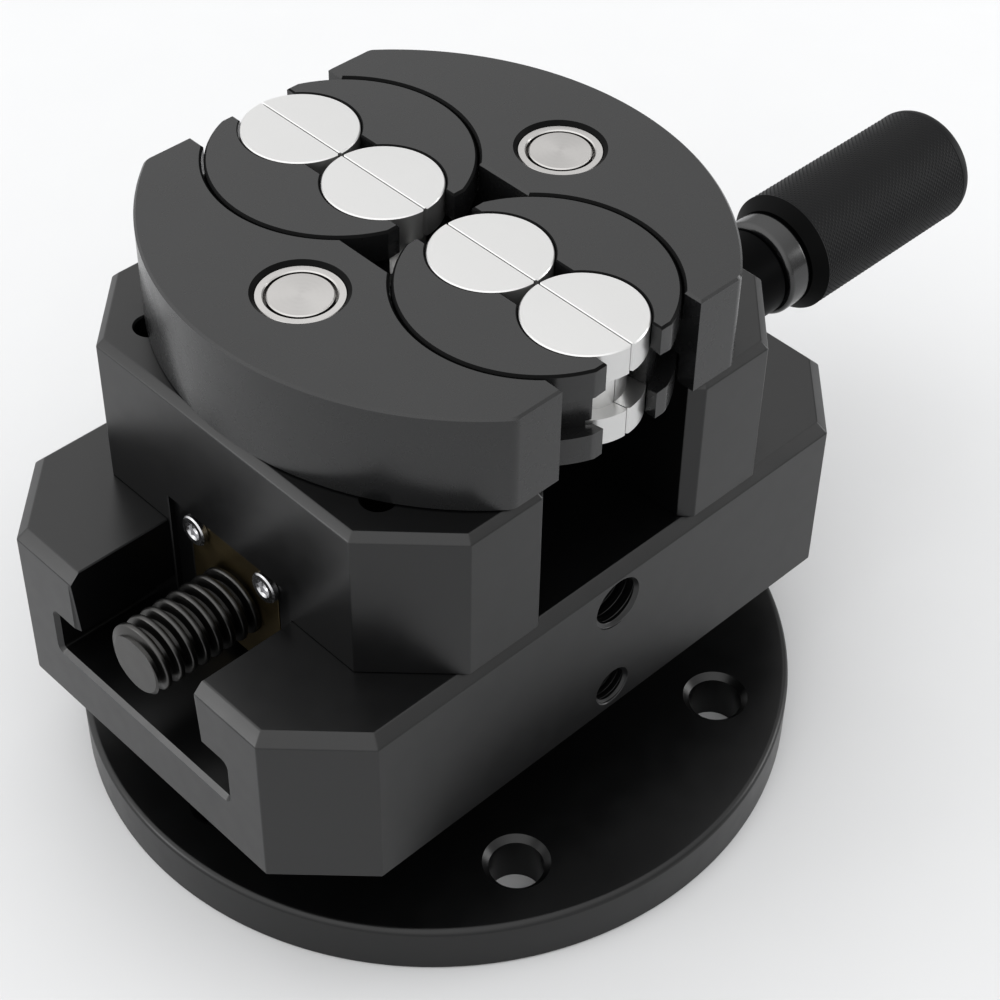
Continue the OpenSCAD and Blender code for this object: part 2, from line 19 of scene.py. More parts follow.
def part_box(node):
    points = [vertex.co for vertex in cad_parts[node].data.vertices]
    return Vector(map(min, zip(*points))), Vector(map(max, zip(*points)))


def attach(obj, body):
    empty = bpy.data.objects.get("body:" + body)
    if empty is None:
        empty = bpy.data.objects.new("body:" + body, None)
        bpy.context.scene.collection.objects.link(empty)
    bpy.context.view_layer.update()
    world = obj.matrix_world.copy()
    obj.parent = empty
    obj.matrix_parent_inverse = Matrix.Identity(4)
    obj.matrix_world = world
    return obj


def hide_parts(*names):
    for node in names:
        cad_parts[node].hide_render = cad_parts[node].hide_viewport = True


MM = 0.001
FULL_TURN = 2 * math.pi
MERGE = 0.002 * MM
BOTH_WAYS = (-1, 1)
ORIGIN = Vector((0, 0, 0))
UP = Vector((0, 0, 1))
DOWN = Vector((0, 0, -1))
FRONT = Vector((0, -1, 0))
REAR = Vector((0, 1, 0))
LEFTWARD = Vector((-1, 0, 0))
RIGHTWARD = Vector((1, 0, 0))
WALL, FLAT = 0.3, 0.95
LOG = logging.getLogger("vise")

Piece = bpy.types.Object
Face = bpy.types.MeshPolygon
FaceTest = Callable[[Face], bool]
EdgeTest = Callable[[Vector, Vector], bool]
Socket = bpy.types.NodeSocket
Profile = list[tuple[float, float]]

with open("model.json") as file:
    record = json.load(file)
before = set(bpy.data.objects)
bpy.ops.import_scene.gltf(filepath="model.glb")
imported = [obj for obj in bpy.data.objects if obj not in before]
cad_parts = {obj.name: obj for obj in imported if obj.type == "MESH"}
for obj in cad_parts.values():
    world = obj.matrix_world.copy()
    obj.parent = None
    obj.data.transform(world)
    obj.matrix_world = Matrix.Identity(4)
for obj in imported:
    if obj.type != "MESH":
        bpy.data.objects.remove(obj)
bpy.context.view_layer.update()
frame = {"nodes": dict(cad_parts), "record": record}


class Axis(Enum):
    """The axis that a turned piece is turned about."""

    SCREW = "X"
    UPRIGHT = "Z"


class Side(Enum):
    """The half of the vise, with the sign of its X."""

    LEFT = -1
    RIGHT = 1

    @property
    def word(self) -> str:
        """The side's name as the nodes and bodies spell it."""
        return self.name.lower()


# Modelling by hand


def deselect_all() -> None:
    """Deselects every object and makes none active."""
    bpy.ops.object.select_all(action="DESELECT")
    bpy.context.view_layer.objects.active = None


def pick(piece: Piece) -> None:
    """Selects one object alone and makes it active.

    Args:
        piece: The object to select.
    """
    deselect_all()
    piece.select_set(True)
    bpy.context.view_layer.objects.active = piece


@contextmanager
def editing(piece: Piece) -> Iterator[None]:
    """Edit mode on one object, and back to object mode afterwards.

    Args:
        piece: The object to edit.
    """
    pick(piece)
    bpy.ops.object.mode_set(mode="EDIT")
    try:
        yield
    finally:
        bpy.ops.object.mode_set(mode="OBJECT")


def tidy_mesh(piece: Piece) -> Piece:
    """Merges double vertices and turns all faces outwards.

    Args:
        piece: A closed mesh.

    Returns:
        The same object.
    """
    with editing(piece):
        bpy.ops.mesh.select_all(action="SELECT")
        bpy.ops.mesh.remove_doubles(threshold=MERGE)
        bpy.ops.mesh.normals_make_consistent(inside=False)
    return piece


def draw_chain(name: str, points: Sequence[Vector]) -> Piece:
    """Draws a chain of edges by extruding one vertex from point to point.

    Args:
        name: The name of the new object.
        points: Where the chain goes.

    Returns:
        An object that holds only the chain.
    """
    deselect_all()
    bpy.ops.mesh.primitive_plane_add(size=MM, location=points[0])
    piece = bpy.context.active_object
    piece.name = name
    piece.data.name = name
    bpy.ops.object.transform_apply(location=True, rotation=True, scale=True)
    with editing(piece):
        bpy.ops.mesh.select_all(action="SELECT")
        bpy.ops.mesh.merge(type="CENTER")
        for start, end in zip(points, points[1:]):
            bpy.ops.mesh.extrude_region_move(TRANSFORM_OT_translate={"value": end - start})
    return piece


def prism(name: str, outline: Profile, low: float, high: float,
          axis: Axis = Axis.UPRIGHT) -> Piece:
    """Makes a prism from its outline.

    Args:
        name: The name of the new object.
        outline: The corners in order, as (x, y) for an upright prism and (y, z) for one along X.
        low: Where the first end face is on the axis.
        high: Where the other end face is.
        axis: The axis that the prism runs along.

    Returns:
        The closed prism.
    """
    upright = axis is Axis.UPRIGHT
    corners = [Vector((a, b, low)) if upright else Vector((low, a, b)) for a, b in outline]
    along = Vector((0, 0, high - low)) if upright else Vector((high - low, 0, 0))
    piece = draw_chain(name, corners)
    with editing(piece):
        bpy.ops.mesh.select_all(action="SELECT")
        bpy.ops.mesh.edge_face_add()
        bpy.ops.mesh.extrude_region_move(TRANSFORM_OT_translate={"value": along})
    return tidy_mesh(piece)


def turned(name: str, profile: Profile, steps: int = 96,
           axis: Axis = Axis.UPRIGHT, centre: Sequence[float] = ORIGIN) -> Piece:
    """Turns a profile about an axis, as on a lathe.

    Args:
        name: The name of the new object.
        profile: Corners as (radius, distance along the axis from the centre). It starts and ends on
            the axis, or is closed for a ring.
        steps: Facets round the axis.
        axis: The axis that it is turned about.
        centre: A point on the axis.

    Returns:
        The closed turned piece.
    """
    middle = Vector(centre)
    along, out = (RIGHTWARD, REAR) if axis is Axis.SCREW else (UP, RIGHTWARD)
    on_axis = profile[0][0] == 0 and profile[-1][0] == 0
    corners = list(profile) if on_axis else [*profile, profile[0]]
    piece = draw_chain(name, [middle + out * r + along * h for r, h in corners])
    with editing(piece):
        bpy.ops.mesh.select_all(action="SELECT")
        bpy.ops.mesh.spin(steps=steps, angle=FULL_TURN, center=middle, axis=along)
    return tidy_mesh(piece)


def arc(centre: tuple[float, float], radius: float, start: float, end: float,
        steps: int) -> Profile:
    """Points along an arc."""
    turns = [math.radians(start + (end - start) * i / steps) for i in range(steps + 1)]
    return [(centre[0] + radius * math.cos(t), centre[1] + radius * math.sin(t)) for t in turns]


def ring_profile(inner: float, outer: float, low: float, high: float, edge: float) -> Profile:
    """The profile of a ring or a round rod, with its two outer edges broken."""
    return [(inner, low), (outer - edge, low), (outer, low + edge), (outer, high - edge),
            (outer - edge, high), (inner, high)]


def block(name: str, low: Sequence[float], high: Sequence[float]) -> Piece:
    """Makes a box between two corners.

    Args:
        name: The name of the new object.
        low: Its lowest corner.
        high: Its highest corner.

    Returns:
        The box.
    """
    deselect_all()
    middle = [(a + b) / 2 for a, b in zip(low, high)]
    bpy.ops.mesh.primitive_cube_add(size=1, location=middle)
    piece = bpy.context.active_object
    piece.name = name
    piece.scale = [b - a for a, b in zip(low, high)]
    bpy.ops.object.transform_apply(location=True, rotation=True, scale=True)
    return piece


def apply_modifier(piece: Piece, modifier: bpy.types.Modifier) -> None:
    """Applies one modifier of an object."""
    pick(piece)
    bpy.ops.object.modifier_apply(modifier=modifier.name)


def combine(piece: Piece, tool: Piece, operation: str) -> Piece:
    """Joins, cuts or trims a piece with a tool, and deletes the tool.

    Args:
        piece: The piece that stays.
        tool: The other solid.
        operation: DIFFERENCE, UNION or INTERSECT.

    Returns:
        The piece.
    """
    modifier = piece.modifiers.new("combine", "BOOLEAN")
    modifier.object = tool
    modifier.operation = operation
    modifier.solver = "EXACT"
    apply_modifier(piece, modifier)
    bpy.data.objects.remove(tool)
    return piece


def cut(piece: Piece, *tools: Piece) -> Piece:
    """Cuts several tools out of a piece."""
    for tool in tools:
        combine(piece, tool, "DIFFERENCE")
    return piece


def round_edges(piece: Piece, chosen: EdgeTest, width: float,
                segments: int = 3) -> Piece:
    """Rounds the edges that a test picks by their end points.

    Args:
        piece: The piece.
        chosen: Says from an edge's two ends whether it is rounded.
        width: Width of the rounding.
        segments: Facets across it.

    Returns:
        The piece.
    """
    with editing(piece):
        bpy.ops.mesh.select_mode(type="EDGE")
        bpy.ops.mesh.select_all(action="DESELECT")
    mesh = piece.data
    for edge in mesh.edges:
        a, b = (mesh.vertices[i].co for i in edge.vertices)
        edge.select = chosen(a, b)
    with editing(piece):
        bpy.ops.mesh.bevel(offset=width, segments=segments, profile=0.5, affect="EDGES")
        bpy.ops.mesh.select_mode(type="VERT")
    return piece


def copy_of(piece: Piece, name: str) -> Piece:
    """Copies a piece with a mesh of its own.

    Args:
        piece: The piece to copy.
        name: The name of the copy.

    Returns:
        The copy.
    """
    twin = piece.copy()
    twin.data = piece.data.copy()
    twin.name = name
    twin.data.name = name
    bpy.context.scene.collection.objects.link(twin)
    return twin


def moved(piece: Piece, matrix: Matrix) -> Piece:
    """Moves, turns or mirrors a piece's mesh and leaves its object at the origin.

    Args:
        piece: The piece.
        matrix: The move.

    Returns:
        The piece, with its faces outwards.
    """
    piece.data.transform(matrix)
    if matrix.determinant() < 0:
        piece.data.flip_normals()
    piece.data.update()
    return piece


def mirror_x() -> Matrix:
    """The mirror that makes a right piece of a left one."""
    return Matrix.Scale(-1, 4, RIGHTWARD)


def mirror_y() -> Matrix:
    """The mirror that makes a rear piece of a front one."""
    return Matrix.Scale(-1, 4, REAR)


def placed(spot: Vector, towards: Vector) -> Matrix:
    """The move that takes an upright piece from the origin to its place."""
    return Matrix.Translation(spot) @ UP.rotation_difference(towards).to_matrix().to_4x4()


# Finishes

RING_SCALE = 0.05


class Workings:
    """The nodes of one material or of the room's light."""

    def __init__(self, tree: bpy.types.NodeTree) -> None:
        """Takes over a node tree."""
        self.tree = tree

    def add(self, kind: str, inputs: dict[str | int, object], **options: str) -> bpy.types.Node:
        """Adds a node.

        Args:
            kind: Its kind, without the word that all kinds begin with.
            inputs: What goes into its sockets.
            options: Its named options, which are set first.

        Returns:
            The node.
        """
        node = self.tree.nodes.new(f"ShaderNode{kind}")
        for option, choice in options.items():
            setattr(node, option, choice)
        return self.fill(node, inputs)

    def fill(self, node: bpy.types.Node, inputs: dict[str | int, object]) -> bpy.types.Node:
        """Sets the sockets of a node, or links them where another node's socket is given.

        Args:
            node: The node.
            inputs: What goes into its sockets.

        Returns:
            The node.
        """
        for socket, given in inputs.items():
            if isinstance(given, Socket):
                self.tree.links.new(given, node.inputs[socket])
            else:
                node.inputs[socket].default_value = given
        return node


class Paintwork(Workings):
    """The nodes of one material, with its shader and its object coordinates."""

    def __init__(self, material: bpy.types.Material) -> None:
        """Takes over a new material.

        Args:
            material: The material.
        """
        material.use_nodes = True
        super().__init__(material.node_tree)
        self.shader = self.tree.nodes["Principled BSDF"]
        self.place = self.add("TexCoord", {}).outputs["Object"]

    def noise(self, size: float, detail: float, place: Socket | None = None) -> Socket:
        """Adds a noise texture."""
        inputs = {"Scale": 1 / size, "Detail": detail, "Vector": place or self.place}
        return self.add("TexNoise", inputs).outputs["Fac"]

    def shift(self, **inputs: Sequence[float]) -> Socket:
        """Adds a move or stretch of the object coordinates."""
        return self.add("Mapping", {**inputs, "Vector": self.place}).outputs["Vector"]

    def bump(self, height: Socket, depth: float) -> None:
        """Adds a bump to the shader."""
        bump = self.add("Bump", {"Distance": depth, "Strength": 1.0, "Height": height})
        self.fill(self.shader, {"Normal": bump.outputs["Normal"]})


@dataclass(frozen=True)
class Finish:
    """A surface finish with fine grain and slow colour drift.

    Attributes:
        name: Name of the material.
        colour: Base colour, linear.
        drift: How far the colour drifts, as a share of itself.
        metallic: 1 for bare metal.
        roughness: Middle roughness.
        roughness_drift: How far the roughness wanders either way.
        grain: Size of one grain.
        grain_depth: Height of the grain.
        specular: Specular level of the shader.
        cloud: Size of the patches that differ in colour.
        smear: Size of the patches that differ in roughness.
    """

    name: str
    colour: tuple[float, float, float]
    drift: float = 0.15
    metallic: float = 0.0
    roughness: float = 0.4
    roughness_drift: float = 0.05
    grain: float = 0.12 * MM
    grain_depth: float = 0.002 * MM
    specular: float = 0.5
    cloud: float = 14 * MM
    smear: float = 3 * MM

    def build(self) -> bpy.types.Material:
        """Builds the material.

        Returns:
            The material, made from nodes.
        """
        material = bpy.data.materials.new(self.name)
        work = Paintwork(material)
        work.fill(work.shader, {"Metallic": self.metallic, "Specular IOR Level": self.specular})
        dark, light = ([min(1, c * (1 + way * self.drift)) for c in self.colour] for way in BOTH_WAYS)
        tint = work.add("Mix", {"A": (*dark, 1), "B": (*light, 1), "Factor": work.noise(self.cloud, 3.0)},
                        data_type="RGBA")
        spread = work.add("MapRange", {"To Min": self.roughness - self.roughness_drift,
                                       "To Max": self.roughness + self.roughness_drift,
                                       "Value": work.noise(self.smear, 4.0)})
        work.fill(work.shader, {"Base Color": tint.outputs["Result"],
                                "Roughness": spread.outputs["Result"]})
        self.emboss(work)
        return material

    def emboss(self, work: Paintwork) -> None:
        """Adds the fine grain as a bump."""
        work.bump(work.noise(self.grain, 2.0), self.grain_depth)


@dataclass(frozen=True)
class BrushedFinish(Finish):
    """Metal brushed along Y, with long fine scratches.

    Attributes:
        scratch: Width of a scratch.
        stretch: How many times longer than wide a scratch is.
    """

    scratch: float = 0.06 * MM
    stretch: float = 60.0

    def emboss(self, work: Paintwork) -> None:
        """Adds the scratches as a bump."""
        squeezed = work.shift(Scale=(1, 1 / self.stretch, 1))
        work.bump(work.noise(self.scratch, 2.0, squeezed), self.grain_depth)


@dataclass(frozen=True)
class TurnedFinish(Finish):
    """Metal faced on a lathe, with fine rings round an upright axis.

    Attributes:
        centre: The axis, as (x, y).
        ring: Distance between rings, divided by a full turn.
        streak: How much the rings draw a highlight out into a fan, from 0 to 1.
    """

    centre: tuple[float, float] = (0.0, 0.0)
    ring: float = 0.09 * MM
    streak: float = 0.85

    def emboss(self, work: Paintwork) -> None:
        """Adds the rings as a bump.

        Args:
            work: The material's nodes.
        """
        rings = work.add("TexWave", {"Scale": RING_SCALE / self.ring, "Distortion": 0.6, "Detail": 2.0,
                                     "Vector": work.shift(Location=(-self.centre[0], -self.centre[1], 0))},
                         wave_type="RINGS", rings_direction="Z")
        work.bump(rings.outputs["Fac"], self.grain_depth)
        tangent = work.add("Tangent", {}, direction_type="RADIAL", axis="Z")
        work.fill(work.shader, {"Tangent": tangent.outputs["Tangent"], "Anisotropic": self.streak})


BLACK = (0.0018, 0.0019, 0.0021)

# Painted shade: a darker, duller black that stands in for the shade and dark reflections on recess walls
# and inner chamfers.
PAINTED_SHADE_BLACK = Finish("painted shade black", (0.0014, 0.0015, 0.0016), roughness=0.5, specular=0.12)

FINISHES: dict[str, Finish] = {
    "base_black": Finish("base anodised black", BLACK, roughness=0.33, specular=0.55),
    "body_black": Finish("body anodised black", BLACK, roughness=0.31, specular=0.66),
    "jaw_black": Finish("jaw anodised black", (0.012, 0.0122, 0.0126), roughness=0.27, specular=0.64),
    "handle_black": Finish("collar black", (0.0014, 0.0015, 0.0017), roughness=0.38, specular=0.05),
    "neck_black": Finish("neck gloss black", (0.002, 0.0022, 0.0025), roughness=0.2, specular=0.95),
    "grip_black": Finish("grip anodised black", (0.0026, 0.0028, 0.0033), roughness=0.5,
                         specular=0.26),
    "thread_steel": Finish("blackened screw steel", (0.085, 0.084, 0.082), metallic=1.0,
                           roughness=0.34, roughness_drift=0.08),
    "dark_steel": Finish("blackened steel", (0.07, 0.07, 0.073), metallic=1.0, roughness=0.38),
    "screw_steel": Finish("plated screw steel", (0.46, 0.46, 0.47), metallic=1.0, roughness=0.26),
    "bush_steel": Finish("ground bush steel", (0.50, 0.49, 0.48), metallic=1.0, roughness=0.26),
    "disc_silver": BrushedFinish("machined bright aluminium", (0.63, 0.629, 0.624), drift=0.025,
                                 metallic=0.92, roughness=0.32, grain_depth=0.0016 * MM),
    "nut_brass": Finish("dull brass", (0.12, 0.095, 0.05), metallic=1.0, roughness=0.42,
                        roughness_drift=0.1, drift=0.25),
    "bronze": Finish("plain bronze", (0.36, 0.25, 0.11), metallic=1.0, roughness=0.4),
}


class Wardrobe:
    """Builds each finish once and hands it out."""

    def __init__(self) -> None:
        """Starts with no finish built."""
        self.built: dict[str, bpy.types.Material] = {}

    def get(self, finish: Finish) -> bpy.types.Material:
        """Gives the material of a finish."""
        if finish.name not in self.built:
            self.built[finish.name] = finish.build()
        return self.built[finish.name]

    def dress(self, piece: Piece, finish: Finish) -> None:
        """Puts one finish all over a piece."""
        piece.data.materials.clear()
        piece.data.materials.append(self.get(finish))


WARDROBE = Wardrobe()


def deliver(piece: Piece, body: str, slot: str, *nodes: str, finish: Finish | None = None,
            smooth_under: float = 32.0, painted_shade: FaceTest | None = None) -> Piece:
    """Finishes a piece: shading, the material of its slot, its body, and hiding the nodes that it stands
    for.

    Args:
        piece: The modelled piece.
        body: The body that it rides on.
        slot: The record's material slot.
        nodes: The nodes that it replaces.
        finish: A finish other than the slot's own.
        smooth_under: Edges flatter than this many degrees are shaded smooth.
        painted_shade: Says which of its faces get painted shade, a darker black in place of shade.

    Returns:
        The piece.
    """
    pick(piece)
    bpy.ops.object.shade_smooth_by_angle(angle=math.radians(smooth_under))
    weigh = piece.modifiers.new("weigh", "WEIGHTED_NORMAL")
    weigh.keep_sharp = True
    apply_modifier(piece, weigh)
    WARDROBE.dress(piece, finish or FINISHES[slot])
    # Faces that the test picks get the painted shade black as a second material.
    if painted_shade:
        piece.data.materials.append(WARDROBE.get(PAINTED_SHADE_BLACK))
        for face in piece.data.polygons:
            face.material_index = int(painted_shade(face))
    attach(piece, body)
    if nodes:
        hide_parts(*nodes)
    LOG.info("%s: %d faces on %s", piece.name, len(piece.data.polygons), body)
    return piece


def deliver_pair(piece: Piece, stem: str, body: str, slot: str,
                 finishes: Sequence[Finish | None] = (None, None), painted_shade: FaceTest | None = None) -> None:
    """Hands over a left piece and its mirrored right twin, with painted shade where the test says."""
    twin = moved(copy_of(piece, piece.name.replace("left", "right", 1)), mirror_x())
    for side, half, finish in zip(Side, (piece, twin), finishes):
        deliver(half, f"{side.word}_{body}", slot, f"{side.word}_{stem}", finish=finish, painted_shade=painted_shade)


THREAD_FLANK = math.radians(15)
THREAD_FLAT = 0.366
THREAD_BREAK = 0.1
THREAD_BULGE = 0.28


def trim_end(x: float, outwards: int) -> None:
    """Cuts the mesh that is being edited off square, and closes it there."""
    bpy.ops.mesh.select_all(action="SELECT")
    bpy.ops.mesh.bisect(plane_co=(x, 0, 0), plane_no=(outwards, 0, 0), use_fill=True,
                        clear_outer=True, threshold=MERGE / 10)


def threaded_rod(crest: float, root: float, pitch: float, start: float, end: float,
                 steps: int = 48) -> Piece:
    """Makes a rod with a trapezoidal thread along the X axis through the origin.

    Args:
        crest: Radius of the crests.
        root: Radius of the roots.
        pitch: Distance from crest to crest.
        start: Lowest X.
        end: Highest X.
        steps: Facets in one turn.

    Returns:
        The closed rod.
    """
    depth = crest - root
    rise = depth * math.tan(THREAD_FLANK)
    flat = THREAD_FLAT * pitch
    broken = THREAD_BREAK * pitch
    foot = pitch - flat - 2 * rise
    share, bulge = broken / depth, THREAD_BULGE * broken
    profile = [(0, root), (foot, root), (foot + rise * (1 - share), crest - broken),
               (foot + rise + bulge, crest - bulge), (foot + rise + broken, crest),
               (foot + rise + flat - broken, crest), (foot + rise + flat - bulge, crest - bulge),
               (foot + rise + flat + rise * share, crest - broken), (pitch, root)]
    first = start - 2 * pitch
    piece = draw_chain("thread", [Vector((first + x, 0, r)) for x, r in profile])
    screw = piece.modifiers.new("thread", "SCREW")
    screw.axis = "X"
    screw.angle = FULL_TURN
    screw.screw_offset = pitch
    screw.iterations = math.ceil((end - start) / pitch) + 4
    screw.steps = steps
    screw.render_steps = steps
    screw.use_merge_vertices = False
    apply_modifier(piece, screw)
    with editing(piece):
        bpy.ops.mesh.select_all(action="SELECT")
        bpy.ops.mesh.remove_doubles(threshold=MERGE)
        trim_end(start, -1)
        trim_end(end, 1)
    return tidy_mesh(piece)


def drill(radius: float, depth: float, lip: float, mouth: Vector, into: Vector,
          steps: int = 48) -> Piece:
    """Makes the tool for a round hole with a chamfered mouth.

    Args:
        radius: Radius of the hole.
        depth: How far it goes in.
        lip: Width of the chamfer at its mouth.
        mouth: The middle of its mouth.
        into: The direction of the drill, one unit long.
        steps: Facets round the hole.

    Returns:
        The tool.
    """
    past = 0.5 * MM + lip
    profile = [(0, -past), (radius + lip + past, -past), (radius, lip), (radius, depth), (0, depth)]
    return moved(turned("drill", profile, steps), placed(mouth, into))


def chamfer_bar(start: Vector, end: Vector, width: float) -> Piece:
    """Makes the tool that cuts a 45 degree chamfer along a straight edge.

    Args:
        start: One end of the edge, which runs along X or Y.
        end: Its other end.
        width: Width of the chamfer on each face.

    Returns:
        The tool.
    """
    side = width * math.sqrt(2) / 2
    length = (end - start).length / 2
    bar = block("chamfer", (-length, -side, -side), (length, side, side))
    tilt = Matrix.Rotation(math.radians(45), 4, "X")
    heading = Matrix.Rotation(math.atan2(end.y - start.y, end.x - start.x), 4, "Z")
    return moved(bar, Matrix.Translation((start + end) / 2) @ heading @ tilt)


def in_plane(axis: int, value: float) -> EdgeTest:
    """A test for edges that lie in one plane square to an axis."""
    return lambda a, b: abs(a[axis] - value) < MERGE and abs(b[axis] - value) < MERGE


def soften(piece: Piece, width: float, segments: int = 2) -> Piece:
    """Breaks every sharp edge of a plain convex solid.

    Args:
        piece: The solid.
        width: Width of the broken edges.
        segments: Facets across them.

    Returns:
        The piece.
    """
    modifier = piece.modifiers.new("soften", "BEVEL")
    modifier.width = width
    modifier.segments = segments
    modifier.limit_method = "ANGLE"
    modifier.angle_limit = math.radians(25)
    modifier.use_clamp_overlap = False
    apply_modifier(piece, modifier)
    return tidy_mesh(piece)


def join(name: str, pieces: Sequence[Piece]) -> Piece:
    """Joins separate solids into one object.

    Args:
        name: The name of the joined object.
        pieces: The solids.

    Returns:
        The object.
    """
    pick(pieces[0])
    for piece in pieces[1:]:
        piece.select_set(True)
    bpy.ops.object.join()
    joined = bpy.context.active_object
    joined.name = name
    joined.data.name = name
    return joined


def chamfered(low: Vector, high: Vector, left: float, right: float) -> Profile:
    """A block's outline seen from above, with its four corners cut off at 45 degrees."""
    return [(low.x + left, low.y), (high.x - right, low.y), (high.x, low.y + right),
            (high.x, high.y - right), (high.x - right, high.y), (low.x + left, high.y),
            (low.x, high.y - left), (low.x, low.y + left)]


def bounds_of(node: str) -> tuple[Vector, Vector, Vector]:
    """Gives a node's lowest corner, highest corner and middle."""
    low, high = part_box(node)
    return low, high, (low + high) / 2


def screw_height() -> float:
    """Height of the lead screw's axis."""
    return bounds_of("lead_screw")[2].z


# Fasteners


@dataclass(frozen=True)
class Screw:
    """A turned screw with a hexagon socket.

    Attributes:
        thread: Thread diameter.
        length: Length under a cap screw's head, or whole length of another screw.
    """

    thread: float
    length: float

    def profile(self) -> Profile:
        """The upright screw's profile, with its seat at the origin."""
        raise NotImplementedError

    def socket(self) -> tuple[float, float, float]:
        """Radius to a corner of the socket, height of its mouth, and its depth."""
        raise NotImplementedError

    def build(self, name: str, seat: Vector, towards: Vector) -> Piece:
        """Turns the screw, cuts its socket and puts it in its place.

        Args:
            name: The name of the new object.
            seat: Where its seat goes.
            towards: The direction that the socket faces.

        Returns:
            The screw.
        """
        screw = turned(name, self.profile(), 48)
        corner, top, depth = self.socket()
        deselect_all()
        bpy.ops.mesh.primitive_cylinder_add(vertices=6, radius=corner, depth=2 * depth,
                                            location=(0, 0, top))
        hexagon = bpy.context.active_object
        bpy.ops.object.transform_apply(location=True, rotation=True, scale=True)
        lip = corner + 0.12 * corner
        cone = [(0, top - lip), (lip, top), (lip, top + lip), (0, top + lip)]
        cut(screw, hexagon, turned("lip", cone, 48))
        return moved(screw, placed(seat, towards))


@dataclass(frozen=True)
class CapScrew(Screw):
    """A cap screw with a chamfered head, seated on the underside of it.

    Attributes:
        tall: Height of the head.
    """

    tall: float

    @property
    def head(self) -> float:
        """Radius of the head."""
        return 0.875 * self.thread

    def profile(self) -> Profile:
        """The upright screw's profile, with its seat at the origin."""
        shank, end, edge = 0.5 * self.thread, 0.4 * self.thread, 0.08 * self.thread
        return [(0, -self.length), (end, -self.length), (shank, -self.length + edge), (shank, 0),
                (self.head - edge / 2, 0), (self.head, edge / 2), (self.head, self.tall - edge),
                (self.head - edge, self.tall), (0, self.tall)]

    def socket(self) -> tuple[float, float, float]:
        """Radius to a corner of the socket, height of its mouth, and its depth."""
        return 0.47 * self.thread, self.tall, 0.55 * self.tall


@dataclass(frozen=True)
class CountersunkScrew(Screw):
    """A countersunk screw, seated on the top of its flat head.

    Attributes:
        head: Diameter of its flat head.
    """

    head: float

    @property
    def cone(self) -> float:
        """Height of the cone under the head."""
        return self.head / 2 - self.thread / 2

    def profile(self) -> Profile:
        """The upright screw's profile, with its seat at the origin."""
        shank, rim, edge = self.thread / 2, self.head / 2, 0.1 * self.thread
        return [(0, -self.length), (shank - edge, -self.length), (shank, -self.length + edge),
                (shank, -self.cone), (rim - 0.1 * MM, -0.15 * MM), (rim - 0.15 * MM, 0), (0, 0)]

    def socket(self) -> tuple[float, float, float]:
        """Radius to a corner of the socket, height of its mouth, and its depth."""
        return 0.42 * self.thread, 0, 0.9 * self.cone


@dataclass(frozen=True)
class SetScrew(Screw):
    """A set screw, seated on its blind end."""

    def profile(self) -> Profile:
        """The upright screw's profile, with its seat at the origin."""
        return ring_profile(0, self.thread / 2 - 0.03 * MM, 0, self.length, 0.12 * self.thread)

    def socket(self) -> tuple[float, float, float]:
        """Radius to a corner of the socket, height of its mouth, and its depth."""
        return 0.29 * self.thread, self.length, 0.5 * self.thread


def fit_screws(kind: Screw, places: Sequence[tuple[Vector, Vector]], body: str, slot: str,
               node: str) -> None:
    """Models the screws of one node and hands them over."""
    screws = [kind.build("screw", seat, towards) for seat, towards in places]
    deliver(join(f"{node}_turned", screws), body, slot, node)


# Sub-assemblies


